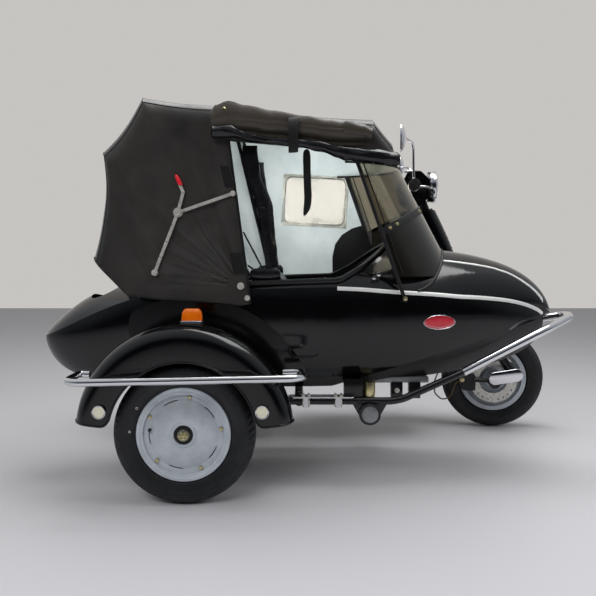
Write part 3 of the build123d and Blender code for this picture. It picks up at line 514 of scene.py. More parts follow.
def creaseOut(x, z):
    # how far the creases push the side of the hood outwards at a place, in mm
    pivotX, pivotZ = hoodShape["pivot"]
    reach = math.hypot(x - pivotX, z - pivotZ)
    angle = math.degrees(math.atan2(z - pivotZ, x - pivotX)) % 360
    out = 0
    for place, width, height, start, end in hoodShape["creases"]:
        bend = 3 * noise.noise(Vector((reach / 140, place, 0)))
        along = easeIn(reach, start * 0.4, start) * (1 - easeIn(reach, end * 0.6, end))
        out += height * along * math.exp(-((angle - place - bend) / width) ** 2)
    return out


def archColumns():
    # (side, part, share) of each column, from the near foot over the top to the far foot
    up, round_, over = hoodShape["columns"]
    half = [("side", i / up) for i in range(up)] + [("corner", i / round_) for i in range(round_)]
    top = [(1, "top", -1 + 2 * i / over) for i in range(over + 1)]
    return [(-1, *column) for column in half] + top + [(1, *column) for column in reversed(half)]


def hoodPoint(arch, column, topSag, sideSag):
    footX, footZ, topX, topZ = arch
    side, kind, share = column
    half, corner, crown = hoodShape["half"], hoodShape["corner"], hoodShape["crown"]
    up = Vector((topX - footX, 0, topZ - footZ))
    high = up.length
    spring = high - corner - crown
    if kind == "side":
        across, rise = side * half, share * spring
    elif kind == "corner":
        turn = share * math.pi / 2
        across = side * (half - corner + corner * math.cos(turn))
        rise = spring + corner * math.sin(turn)
    else:
        across, rise = share * (half - corner), high - crown * share * share
    climb = rise / high
    rise -= topSag * easeIn(climb, 0.3, 1)
    spot = Vector((footX, 0, footZ)) + up.normalized() * rise
    if kind == "top":
        spot.z += noise.noise(Vector((spot.x / 160, across / 160, 7))) * 2.2 - 1
    else:
        across -= side * sideSag * math.sin(math.pi * min(1, climb))
        fade = 1 - (easeIn(share, 0, 1) if kind == "corner" else 0)
        out = creaseOut(spot.x, spot.z) if spot.x < -262 or side < 0 else 0
        slack = noise.noise(Vector((spot.x / 210, side * 4, spot.z / 320))) * 3.5
        ripple = noise.noise(Vector((spot.x / 60, side * 9, spot.z / 90))) * 1.1
        across += side * (min(out, 3.5) + min(slack, 0) + ripple) * fade * easeIn(climb, 0, 0.05)
    return Vector((spot.x, across, spot.z)) / 1000 + Vector((0, tubY, 0))


def makePrism(outline, low, high):
    # an upright outline of (x, z) in mm, pushed from y low to y high in metres
    count = len(outline)
    points = [(mm(x), y, mm(z)) for y in (low, high) for x, z in outline]
    faces = [tuple(range(count)), tuple(range(2 * count - 1, count - 1, -1))]
    faces += [(i, i + count, (i + 1) % count + count, (i + 1) % count) for i in range(count)]
    return fixNormals(meshFrom(points, faces))


def leant(centre, x, z, turn):
    lean = math.radians(turn)
    return (centre[0] + x * math.cos(lean) - z * math.sin(lean),
            centre[1] + x * math.sin(lean) + z * math.cos(lean))


def roundedOutline(centre, size, corner, turn=0, steps=8):
    spots = []
    for sideX, sideZ, start in ((1, 1, 0), (-1, 1, 90), (-1, -1, 180), (1, -1, 270)):
        for i in range(steps + 1):
            angle = math.radians(start + 90 * i / steps)
            spots.append(leant(centre, sideX * (size[0] / 2 - corner) + corner * math.cos(angle),
                               sideZ * (size[1] / 2 - corner) + corner * math.sin(angle), turn))
    return spots


def hoodRows():
    rows, arches, columns = [], hoodShape["arches"], archColumns()
    for i, count in enumerate(hoodShape["rows"]):
        for step in range(count + (i == len(hoodShape["rows"]) - 1)):
            share = step / count
            arch = [a + share * (b - a) for a, b in zip(arches[i], arches[i + 1])]
            hang = math.sin(math.pi * share)
            rows.append([hoodPoint(arch, column, hoodShape["topSag"][i] * hang, hoodShape["sideSag"][i] * hang)
                         for column in columns])
    return rows


def makeHood():
    rows = hoodRows()
    cloth = gridFrom(rows)
    cloth.data.materials.append(paints["hoodVinyl"])
    cloth.data.materials.append(paints["greyLining"])
    fixNormals(cloth)
    if max(cloth.data.polygons, key=lambda face: face.center.z).normal.z < 0:
        cloth.data.flip_normals()
    addModifier(cloth, "SOLIDIFY", thickness=mm(hoodShape["cloth"]), offset=-1, material_offset=1)
    window = hoodShape["window"]
    opening = roundedOutline(window["centre"], window["size"], window["corner"], window["turn"])
    near, far = (tubY - 0.4, tubY - 0.15), (tubY + 0.15, tubY + 0.4)
    for outline, span in ((hoodShape["doorway"], near), (hoodShape["ahead"], far), (hoodShape["skirt"], far),
                          (opening, far)):
        cutter = makePrism(outline, *span)
        addModifier(cloth, "BOOLEAN", operation="DIFFERENCE", solver="EXACT", object=cutter)
        bpy.data.objects.remove(cutter)
    finishPiece(smooth(cloth, 40), "hoodCloth", None, ["hood"])
    return rows, opening


hoodGrid, windowLine = makeHood()
print("hood cloth made")


def hoodLine(column, first, out=0.0):
    # a line down the hood's grid to the back flap, lifted off the cloth
    spots = [row[column] for row in hoodGrid[first:]]
    return [spot + Vector((0, math.copysign(out, spot.y - tubY), out)) for spot in spots]


def makeHoodSeams():
    rows = hoodShape["rows"]
    starts = [sum(rows[:i]) for i in range(len(rows) + 1)]
    last = len(hoodGrid[0]) - 1
    near, far = hoodShape["seam"], last - hoodShape["seam"]
    parts = [addTube(hoodLine(column, starts[1], 0.0002), 0.0016, 6) for column in (near, far)]
    parts += [addTube(hoodLine(column, starts[3]), 0.0034) for column in (0, last)]
    parts.append(addTube(hoodGrid[-1], 0.0034))
    for index in (starts[4], starts[5]):
        ridge = [spot + Vector((0, 0, 0.0003)) for spot in hoodGrid[index][near:far + 1]]
        parts.append(addTube(ridge, 0.0015, 6))
    doorEdge = [(-299, 1104), (-286, 1000), (-272, 895), (-258, 790), (-239, 640), (-234, 596)]
    parts.append(addTube([(mm(x), tubY - 0.2772, mm(z)) for x, z in doorEdge], 0.0042))
    parts.append(addTube([(mm(x), tubY + 0.2745, 0.656) for x in range(-236, 262, 24)], 0.003))
    parts.append(addTube([(mm(x), tubY + 0.2728, mm(z)) for x, z in windowLine], 0.0032, closed=True))
    finishPiece(parts, "hoodSeams", "trimVinyl")


def makeSoftWindow():
    # the clear panel behind its opening, buckled a little, with a border to sew
    window = hoodShape["window"]
    wide, high = [size + 20 for size in window["size"]]
    rows = []
    for i in range(25):
        row = []
        for j in range(33):
            x, z = leant(window["centre"], -wide / 2 + wide * j / 32, -high / 2 + high * i / 24, window["turn"])
            buckle = 1.3 * noise.noise(Vector((x / 70, 3, z / 110)))
            row.append((mm(x), tubY + 0.2692 + mm(buckle), mm(z)))
        rows.append(row)
    pane = thicken(gridFrom(rows), 0.6, 60, 0)
    finishPiece(pane, "softWindow", "softWindow", ["hood_window"])


def taperTube(stations, sides, lump, seed):
    # stations of (x, y, z, half width along y, half height) in mm, a closed soft roll through them
    rows = []
    for x, y, z, wide, high in stations:
        ring = []
        for turn in turns(sides):
            dent = 1 + lump * noise.noise(Vector((x / 40 + seed, math.cos(turn) * 1.4, math.sin(turn) * 1.4)))
            ring.append((mm(x), mm(y + wide * math.cos(turn) * dent), mm(z + high * math.sin(turn) * dent)))
        rows.append(ring)
    return capEnds(gridFrom(rows, True))


def fillTable(table, step):
    # rows of a table filled in evenly between its own rows, by their first number
    rows = []
    for first, second in zip(table, table[1:]):
        count = max(1, round(abs(second[0] - first[0]) / step))
        for share in (i / count for i in range(count)):
            ease = easeIn(share, 0, 1)
            rows.append([first[0] + share * (second[0] - first[0])]
                        + [a + ease * (b - a) for a, b in zip(first[1:], second[1:])])
    return rows + [list(table[-1])]


def makeCurtainRoll():
    # x, centre z, half width along y, half height: thick at the back, pulled thin, thick again over the screen
    table = [(-352, 1127, 12, 14), (-346, 1128, 20, 20), (-290, 1129, 20, 21), (-262, 1120, 15, 15),
             (-235, 1111, 12, 13), (-160, 1101, 12, 11), (-78, 1093, 13, 13), (-20, 1085, 15, 16),
             (40, 1069, 18, 19), (62, 1063, 19, 21), (150, 1053, 20, 22), (222, 1044, 20, 22),
             (231, 1043, 14, 15)]
    roll = taperTube([(x, 1000 * tubY - 300 + 0.5 * (20 - wide), z, wide, high)
                      for x, z, wide, high in fillTable(table, 6)], 32, 0.16, 3)
    spiral = [(i * 0.32, 19 - i * 0.29) for i in range(60)]
    edge = addTube([(0.2295, tubY - 0.3 + mm(reach * math.cos(turn) * 0.9), 1.043 + mm(reach * math.sin(turn)))
                    for turn, reach in spiral], 0.0013, 6)
    lip = addTube([(mm(x), tubY - 0.3 + mm(0.5 * (20 - wide) - wide * 0.86), mm(z + high * 0.55))
                   for x, z, wide, high in fillTable(table, 24)[2:-2]], 0.0016, 6)
    piece = finishPiece([roll, edge, lip], "curtainRoll", "glossVinyl", ["curtain_roll"])


def makeRoofBundle():
    # the side curtain folded up over the roof edge, as x, top and foot: layers that sag and part at their ends
    table = [(-352, 1196, 1118), (-340, 1212, 1118), (-301, 1225, 1118), (-243, 1212, 1120), (-160, 1196, 1112),
             (-60, 1180, 1102), (15, 1166, 1092), (60, 1160, 1090), (100, 1156, 1090), (122, 1150, 1092)]
    rows = []
    for x, top, low in fillTable(table, 5):
        ring = []
        for share in (j / 55 for j in range(56)):
            fold = abs(math.sin(math.pi * (share * 1.5 + 0.1 + 0.0011 * (x + 352) + 0.03 * math.sin(x / 90))))
            belly = 25 * math.sin(math.pi * min(1, share * 1.06 + 0.1)) ** 0.55
            out = belly * (0.86 + 0.14 * fold ** 0.5) + 1.8 * noise.noise(Vector((x / 45, share * 3, 5)))
            ring.append((mm(x), tubY - 0.2775 - mm(max(0.5, out)), mm(top + (low - top) * share)))
        ring += [(mm(x), tubY - 0.2768, mm(low + (top - low) * j / 11)) for j in range(12)]
        rows.append(ring)
    bundle = capEnds(gridFrom(rows, True), 55)
    flapTable = fillTable([(58, 1164, 1118), (64, 1166, 1116), (120, 1152, 1112), (146, 1140, 1104)], 4)
    half = [math.pi * j / 39 for j in range(40)]
    rows = [[(mm(x), tubY - 0.28 - mm(24 * math.sin(turn) ** 0.7),
              mm((top + low) / 2 + (top - low) / 2 * math.cos(turn))) for turn in half]
            for x, top, low in flapTable]
    # the bundle's lighter, browner colour is painted sheen
    piece = finishPiece([bundle, thicken(gridFrom(rows), 2, 50, 1)], "roofBundle", "sheenPaintedBundleVinyl",
                        ["roof_flap"])
    snap = addSpin([(0, -3.5), (4, -3), (6.2, -0.8), (6.6, 1)], (-0.311, tubY - 0.2985, 1.198), steps=32)
    finishPiece(snap, "bundleSnap", "zincScrew")


def makeStrap(points, width, thick, across, soft=True):
    # a flat band through points; across is the way its width lies
    side = Vector(across).normalized() * mm(width) / 2
    band = gridFrom([[Vector(p) - side, Vector(p) + side] for p in points])
    addModifier(band, "SOLIDIFY", thickness=mm(thick), offset=0)
    if soft:
        addModifier(band, "SUBSURF", levels=2, render_levels=2, subdivision_type="CATMULL_CLARK")
    else:
        bevelEdges(band, 0.0012, 3)
    return smooth(band, 60)


def makeHoodStraps():
    ring = [(-0.098, tubY - 0.293 - 0.0285 * math.sin(turn), 1.12 + 0.054 * math.cos(turn))
            for turn in turns(24)]
    loop = makeStrap(ring + ring[:1], 33, 2.2, (1, 0, 0.06))
    hang = [(-57, 1084), (-56, 1045), (-55, 998), (-53, 955), (-51, 914), (-50, 884)]
    tail = makeStrap([(mm(x), tubY - 0.262 - 0.002 * math.sin(z / 40), mm(z)) for x, z in hang], 26, 2.4,
                     (1, 0, 0))
    for vertex in tail.data.vertices:
        # the end is cut slantwise and hangs askew
        drop = easeIn(-vertex.co.z, -0.942, -0.848)
        vertex.co.z -= 0.036 * drop * easeIn(-vertex.co.x, 0.036, 0.066)
        vertex.co.x -= 0.012 * drop
    patches = []
    for width, spots in ((31, ((-0.3135, 1.028), (-0.305, 0.996), (-0.297, 0.964))),
                         (40, ((-0.281, 0.757), (-0.274, 0.724), (-0.268, 0.691)))):
        line = [(x, tubY - 0.2812 + 0.0014 * abs(i - 1), z) for i, (x, z) in enumerate(spots)]
        patches.append(makeStrap(line, width, 3, (1, 0, 0.05), False))
    finishPiece([loop, tail] + patches, "hoodStraps", "fuzzyNylon")


def makeBowSleeves():
    # the vinyl sleeves sewn round the front bow, loose at the top, with their catch and stay rods
    table = [(1096, -236, 23, 7), (1010, -224, 22, 8), (923, -201, 21, 8), (870, -194, 17, 8),
             (827, -188, 15, 8), (760, -178, 14, 9), (688, -169, 14, 9)]
    parts = []
    for side in (-1, 1):
        rows = []
        for z, x, wide, thick in fillTable(table, 12):
            pleats = [(turn, 1 + 0.14 * math.sin(3 * turn + z / 60)) for turn in turns(20)]
            rows.append([(mm(x + wide * math.cos(turn) * pleat),
                          tubY + side * (0.2275 + mm(thick * math.sin(turn) * pleat)), mm(z))
                         for turn, pleat in pleats])
        parts.append(fixNormals(smooth(gridFrom(rows, True), 60)))
        boot = [(x, 1000 * tubY + side * 236, 688, 11, high) for x, high in
                ((-236, 10), (-228, 19), (-200, 21), (-172, 20), (-150, 19), (-140, 9))]
        parts.append(taperTube(boot, 24, 0.2, 8))
    finishPiece(parts, "bowSleeves", "glossVinyl")
    near = tubY - 0.238
    bits = [addRod((-0.258, near, 0.822), (-0.196, near, 0.704), 0.0028, 12),
            addRod((-0.244, near, 0.716), (-0.214, near, 0.694), 0.0028, 12)]
    for side in (-1, 1):
        y = tubY + side * 0.238
        bits.append(addBolt((-0.197, y + side * 0.003, 0.905), (0, side, 0), 0.006, 0.006))
        bits.append(addRod((-0.206, y, 0.914), (-0.186, y, 0.896), 0.0036, 12))
    finishPiece(bits, "bowFittings", "blackPowderCoat")


def makeFarPocket():
    # the black vinyl corner sewn inside the far curtain, beside the screen
    outline = [(50, 668), (50, 742), (60, 788), (86, 824), (124, 848), (176, 864), (184, 834), (232, 690),
               (236, 668)]
    panel = addModifier(makePrism(outline, tubY + 0.2655, tubY + 0.2675), "BEVEL", width=0.0008, segments=2)
    finishPiece(smooth(panel, 40), "farPocket", "trimVinyl")


def makeIronFittings():
    # bolts and the sleeved handle of the irons on both sides, and the bolts at the hood's feet
    steel, red = [], []
    for side in (-1, 1):
        out = (0, side, 0)
        for x, z, radius in ((-287, 941, 6), (-534, 694, 6.5), (-459, 882, 8.5)):
            steel.append(addBolt((mm(x), tubY + side * 0.2895, mm(z)), out, mm(radius), 0.006, 24, 1.35))
        rows = []
        for i, radius in enumerate((7.2, 7.8, 7.7, 7.4, 6.9, 6.0, 3.4)):
            x, z = -450 - 14 * i / 6, 967 + 32 * i / 6
            rows.append([(mm(x + radius * math.cos(turn)), tubY + side * 0.2835 + mm(radius * math.sin(turn)),
                          mm(z)) for turn in turns(24)])
        red.append(capEnds(gridFrom(rows, True)))
        steel.append(addBolt((-0.264, tubY + side * 0.2825, 0.652), out, 0.0075, 0.006, 24, 1.5))
        steel.append(addBolt((-0.244, tubY + side * 0.2815, 0.614), out, 0.006, 0.004, 24, 1.5))
    finishPiece(steel, "ironBolts", "bareSteel")
    finishPiece(red, "ironTips", "redSleeve")


for step in (makeHoodSeams, makeSoftWindow, makeFarPocket, makeCurtainRoll, makeRoofBundle, makeHoodStraps,
             makeBowSleeves, makeIronFittings):
    step()
print("hood fittings made")


# The wheels: tyres with their tread, a pressed disc with bolts and slots, and the hub's nut

tyreShape = {
    # out from the axle and across, in mm, from the rim's flange over the tread to the middle
    "side": [(129, 31.4), (141, 32.6), (145, 37.2), (149, 38.6), (152, 39.6), (164, 44.0), (175, 46.0),
             (186, 45.4), (193, 43.0), (198, 40.4), (203, 36.0), (208, 29.0), (211.6, 20.5), (214, 11),
             (215, 0)],
    # radius, half width and height of the rings moulded on the side wall
    "rings": [(147.5, 1.8, 2.0), (154, 1.5, 1.2), (171, 1.5, 0.9), (182, 1.6, 1.3), (190, 1.7, 1.5)],
    # place across, half width and depth of the grooves round the tread
    "grooves": [(7.5, 1.6, 3.2), (20.5, 1.5, 3.0)],
    # where the side wall starts across and the tread starts outwards
    "wallFrom": 36, "treadFrom": 200,
    # slanted cuts in the shoulder: number, faces for each, depth, share that is cut, lean for each mm across,
    # where they start outwards, and where they fade in and out across
    "cuts": 60, "perCut": 7, "cutDepth": 3.6, "cutShare": 0.3, "cutLean": 0.035, "cutFrom": 193,
    "cutFade": (24, 27, 39.5, 42),
}


def makeTyre(name, place, body, node, turn=None):
    shape = tyreShape
    half = curveThrough(shape["side"], 3)
    profile = half + [[out, -across] for out, across in reversed(half[:-1])]
    low, full, thin, high = shape["cutFade"]
    rows = []
    for i, angle in enumerate(turns(shape["cuts"] * shape["perCut"])):
        ring = []
        for out, across in profile:
            wide = abs(across)
            if wide > shape["wallFrom"]:
                for radius, spread, height in shape["rings"]:
                    across += math.copysign(height, across) * math.exp(-((out - radius) / spread) ** 2)
            if out > shape["treadFrom"]:
                for middle, spread, depth in shape["grooves"]:
                    out -= depth * math.exp(-((wide - middle) / spread) ** 4)
            lean = (i / shape["perCut"] + (wide - low) * shape["cutLean"]) % 1
            if low < wide < high and out > shape["cutFrom"] and lean < shape["cutShare"]:
                out -= shape["cutDepth"] * easeIn(wide, low, full) * (1 - easeIn(wide, thin, high))
            ring.append(wheelSpot(place, out, across, angle))
        rows.append(ring)
    tyre = smooth(fixNormals(gridFrom(rows + rows[:1], True)), 36)
    if turn is not None:
        tyre.data.transform(turn)
    finishPiece(tyre, name, "tyreRubber", [node], body)


discShape = {
    # out from the axle and how far it stands out, in mm
    "profile": [(138.5, 33), (140.4, 35), (139.2, 37), (135.5, 37.6), (131.5, 36.8), (129, 33.5), (127, 28),
                (124.8, 25.2), (121, 24.2), (117, 24), (113, 24), (109, 24), (105.4, 24.2), (101.4, 25),
                (98, 26.6), (92, 28.8), (80, 31.4), (66, 33.6), (52, 35), (42, 35.6), (38.5, 35.4)],
    "wall": 1.8, "repeats": 5,
    # the strip of the profile that the slots open, the middle of one and half its width, in degrees
    "slot": 12, "slotTurn": 40, "slotHalf": 12,
    "boltTurn": 8.5, "boltRing": 113, "boltFoot": 23.9,
    "valveTurn": 172, "valveRing": 102, "valveSpan": (14, 40),
}


def makeDisc():
    # one row of faces for each degree
    shape, profile = discShape, discShape["profile"]
    apart = 360 / shape["repeats"]
    points = [wheelSpot(sidecarAxle, out, -across, angle) for angle in turns(360) for out, across in profile]
    faces = []
    for i in range(360):
        away = (i + 0.5 - shape["slotTurn"] + apart / 2) % apart - apart / 2
        a, b = i * len(profile), (i + 1) % 360 * len(profile)
        faces += [(a + j, a + j + 1, b + j + 1, b + j) for j in range(len(profile) - 1)
                  if j != shape["slot"] or abs(away) >= shape["slotHalf"]]
    disc = thicken(faceOut(meshFrom(points, faces), 40, (0, -1, 0)), shape["wall"], 40)
    finishPiece(disc, "sidecarDisc", "silverEnamel", body="sidecar_wheel")
    spots = [wheelSpot(sidecarAxle, shape["boltRing"], -shape["boltFoot"],
                       math.radians(shape["boltTurn"] + apart * k)) for k in range(shape["repeats"])]
    bolts = [addBolt(spot, (0, -1, 0), 0.0062, 0.0075, 6, 1.35) for spot in spots]
    finishPiece(bolts, "sidecarDiscBolts", "zincScrew", body="sidecar_wheel")
    foot, tip = [wheelSpot(sidecarAxle, shape["valveRing"], -across, math.radians(shape["valveTurn"]))
                 for across in shape["valveSpan"]]
    finishPiece(addRod(foot, tip, 0.0044, 20), "sidecarDiscValve", "mouldedRubber",
                body="sidecar_wheel")


hubShape = {
    # out from the axle and how far each point stands out, in mm
    "hubRing": [(38.4, 33), (38.4, 38), (36.8, 39.8), (33, 40.4), (30.2, 39.6), (28.6, 37), (28.4, 33)],
    "hubSeal": [(28.2, 34), (28, 38.3), (26, 39.6), (23, 39.8), (20.5, 39), (19.4, 38.3), (17, 38.2)],
    # the nut's stacked rods: out from the axle, from and to across in mm, radius in metres, sides, bevel
    "nut": [(0, 38.2, 40.5, 0.0182, 48), (0, 40.5, 45.2, 0.0148, 6, 0.0008)],
    "stud": (11.2, 45, 48.5, 0.0034, 12), "studs": 6,
    "mark": [(2.6, 0), (2.6, -1.2), (3.6, -1.2), (3.6, 0)], "markTurns": (149, 176), "markRing": 159,
    "markFoot": 42.4,
}


def makeHubCap():
    for name, slot, paint in (("hubRing", "cast", "silverEnamel"), ("hubSeal", "grip_black", "mouldedRubber")):
        ring = addSpin([(out, -across) for out, across in hubShape[name]], sidecarAxle, steps=72)
        finishPiece(ring, name, paint, body="sidecar_wheel")
    rods = [(0, rod) for rod in hubShape["nut"]]
    rods += [(angle, hubShape["stud"]) for angle in turns(hubShape["studs"])]
    parts = [addRod(wheelSpot(sidecarAxle, out, -low, angle), wheelSpot(sidecarAxle, out, -high, angle), *size)
             for angle, (out, low, high, *size) in rods]
    middle = Vector(sidecarAxle)
    parts.append(addRod(middle + Vector((-0.017, -0.0468, 0.002)), middle + Vector((0.016, -0.0468, -0.003)),
                        0.0014, 10))
    finishPiece(parts, "hubNut", "zincScrew", body="sidecar_wheel")
    spots = [wheelSpot(sidecarAxle, hubShape["markRing"], -hubShape["markFoot"], math.radians(degrees))
             for degrees in hubShape["markTurns"]]
    marks = [addSpin(hubShape["mark"], spot, steps=24) for spot in spots]
    finishPiece(marks, "balanceMarks", "creamLens", body="sidecar_wheel")


makeTyre("sidecarTyre", sidecarAxle, "sidecar_wheel", "sidecar_tyre")
makeTyre("rearTyre", rearAxle, "rear_wheel", "rear_tyre")
makeTyre("frontTyre", frontAxle, "front_wheel", "front_tyre", steerRest)
makeDisc()
makeHubCap()
print("wheels made")


# The wheel cover's lamp and reflectors

lampShape = {
    # height over the cover and how much is added to half the width, in mm
    "lens": [(0, -1.5), (1.5, 0), (9, -0.3), (18, -1.0), (27, -2.4), (33, -4.6), (36.5, -8), (38, -13)],
    "collar": [(-5, 1.5), (-4.5, 2.4), (0.5, 2.4), (2.2, 1.2), (2.4, -1.2)],
    "lensSize": (60, 38), "collarSize": (62, 42), "ahead": 24, "foot": 337.3,
    # depth of the lens's ribs and how far up they run
    "rib": 0.5, "ribbed": 30,
    "rim": [(20.3, -0.2), (20.8, -7), (20.2, -9.8), (18.6, -10.6), (17, -9.8), (16.6, -8.8)],
    "face": [(16.8, -9.0), (13, -10.2), (10.4, -10.5), (9.8, -9.6), (9.2, -10.6), (5, -11), (0, -11.2)],
}


def lampRows(part, corner, steps):
    # rounded outlines stacked up from the cover
    x, y = 1000 * sidecarAxle[0] + lampShape["ahead"], 1000 * wheelY
    wide, deep = lampShape[part + "Size"]
    rows = []
    for high, grow in lampShape[part]:
        rib = lampShape["rib"] * (part == "lens" and high < lampShape["ribbed"])
        ring = []
        outline = roundedOutline((x, y), (wide + 2 * grow, deep + 2 * grow), min(11, corner + grow), 0, steps)
        for i, (px, py) in enumerate(outline):
            way = Vector((px - x, py - y, 0)).normalized() * rib * (-1) ** i
            ring.append((mm(px + way.x), mm(py + way.y), axleZ + mm(lampShape["foot"] + high)))
        rows.append(ring)
    return rows


def makeFenderLamp():
    lens = capEnds(gridFrom(lampRows("lens", 17, 18), True), 24)
    finishPiece(lens, "amberLens", "amberLens", ["fender_lamp_lens"])
    collar = capEnds(gridFrom(lampRows("collar", 20, 10), True))
    finishPiece(collar, "lampCollar", "buffedAluminium")


def makeReflectorRings():
    for name, ahead, swaps in (("rearReflector", -0.243, ["reflectors"]), ("frontReflector", 0.236, ())):
        x = sidecarAxle[0] + ahead
        spot = (x, wheelY - 0.060, 0.29)
        finishPiece(addSpin(lampShape["rim"], spot), name + "Rim", "brightChrome")
        back = addRod((x, wheelY - 0.0595, 0.29), (x, wheelY - 0.0686, 0.29), 0.0203, 48)
        finishPiece([addSpin(lampShape["face"], spot), back], name + "Face", "creamLens", swaps)


# Clamps, brackets and caps on the frame

def makeFrameFittings():
    railY, railZ, half = tubY - 0.256, 0.281, 0.0155
    bright = []
    for x in (place + gap for place in (-0.058, 0.046) for gap in (-0.009, 0.009)):
        arc = [(x, railY + half * math.cos(turn), railZ - 0.002 + half * math.sin(turn))
               for turn in (math.pi + math.pi * i / 12 for i in range(13))]
        first, last = [(x, railY + side * half, railZ + 0.022) for side in (-1, 1)]
        bright.append(addTube([first] + arc + [last], 0.0028))
        bright += [addBolt((x, railY + side * half, railZ + 0.0165), (0, 0, 1), 0.0046, 0.0055)
                   for side in (-1, 1)]
    bright.append(addBolt((0.243, tubY - 0.191, 0.303), (0, -1, 0), 0.0055, 0.006))
    cap = addSpin([(0, -3.5), (20, -3.5), (25.8, -2), (27.2, 2), (27.2, 14)], (0.146, tubY - 0.278, 0.241),
                  steps=48)
    dark = [addBlock((0.064, tubY - 0.262, 0.295), (0.124, tubY - 0.216, 0.350), 0.004)]
    dark += [addBlock((x, tubY - 0.19, 0.276), (x + 0.037, tubY - 0.15, 0.330), 0.003) for x in (0.225, 0.284)]
    bush = addRod((0.1465, tubY - 0.236, 0.291), (0.1465, tubY - 0.236, 0.340), 0.0195, 40)
    channel = addBlock((0.124, tubY - 0.185, 0.3275), (0.348, tubY - 0.135, 0.3465), 0.002)
    finishPiece(cap, "crossTubeCap", "castAluminium")
    finishPiece(bright, "frameBolts", "bareSteel")
    finishPiece(dark, "frameBrackets", "blackPowderCoat")
    finishPiece(bush, "frameBush", "zincScrew")
    finishPiece(channel, "frameChannel", "castAluminium")


makeFenderLamp()
makeReflectorRings()
makeFrameFittings()
print("frame fittings made")


# The wheel cover: pressed skin with rounded feet and a rolled edge

coverShape = {
    # out from the axle and across from its middle, in mm, from the near rolled edge to the far one
    "profile": [(221, -60), (240, -60.4), (262, -60.4), (280, -60), (291, -58.6), (302, -54), (312, -45),
                (320, -34), (326, -20), (329.4, -6), (330, 0), (329.4, 6), (326, 20), (320, 34), (312, 45),
                (302, 54), (291, 58.6), (278, 60), (266, 60)],
    "ends": (6.5, 173), "round": 24, "wall": 2.6, "bead": 3.6, "steps": 120,
}


def makeCover():
    line = curveThrough(coverShape["profile"], 2)
    lengths = [0]
    for a, b in zip(line, line[1:]):
        lengths.append(lengths[-1] + math.dist(a, b))
    first, last = coverShape["ends"]
    steps = coverShape["steps"]
    rows = []
    for i in range(steps + 1):
        ring = []
        for (out, across), along in zip(line, lengths):
            # the ends draw in towards both edges, which rounds the feet
            near = min(1, min(along, lengths[-1] - along) / coverShape["round"])
            trim = math.degrees(coverShape["round"] * (1 - math.sqrt(1 - (1 - near) ** 2)) / out)
            angle = math.radians(first + trim + (last - first - 2 * trim) * i / steps)
            ring.append(wheelSpot(sidecarAxle, out, across, angle))
        rows.append(ring)
    top = steps // 2 * (len(line) - 1) + len(line) // 2
    skin = thicken(faceOut(gridFrom(rows), top, (0, 0, 1)), coverShape["wall"], 35)
    edge = [row[0] for row in rows] + rows[-1][1:-1] + [row[-1] for row in reversed(rows)] + rows[0][-2:0:-1]
    bead = addTube(edge, mm(coverShape["bead"]), 10, True)
    finishPiece([skin, bead], "wheelCover", "blackEnamel", ["fender"])


makeCover()


# The screen's seam, screws, edges and seal

screenShape = {
    # the sheet is part of a leaning cylinder: x of its axis at a height, run back for each mm up, and radius
    "axis": (182, 723), "lean": 0.53, "radius": 254,
    # x and z of the seam's plane, and where it would cross the axis
    "seam": (186, 823), "seamFoot": 181.25,
    # x and z where a side edge starts, and its run back and rise
    "edge": (234, 680), "edgeRun": (129, 366),
    # up and out of the band over the seam
    "band": ((-11, 0.3), (-10.5, 1.6), (-4, 2.2), (4, 2.2), (10.5, 1.6), (11, 0.3)),
    "screws": (-70, -62.5, -25, 25, 62.5, 70),
}


def screenSpot(turn, z, out=0.0):
    axisX, axisZ = screenShape["axis"]
    reach = screenShape["radius"] + out
    x = axisX - screenShape["lean"] * (z - axisZ) + reach * math.cos(turn)
    return Vector((mm(x), tubY + mm(reach * math.sin(turn)), mm(z)))


def seamHeight(turn):
    seamX, seamZ = screenShape["seam"]
    lean = screenShape["lean"]
    x = (screenShape["seamFoot"] + screenShape["radius"] * math.cos(turn)) / (1 + lean * lean)
    return seamZ + lean * (x - seamX)


def edgeTurn(z):
    axisX, axisZ = screenShape["axis"]
    startX, startZ = screenShape["edge"]
    run, rise = screenShape["edgeRun"]
    line = startX - run * (z - startZ) / rise
    return math.acos((line - axisX + screenShape["lean"] * (z - axisZ)) / screenShape["radius"])


def sweep(most, steps):
    # angles from one side of the screen to the other
    return [math.radians(-most + 2 * most * i / steps) for i in range(steps + 1)]


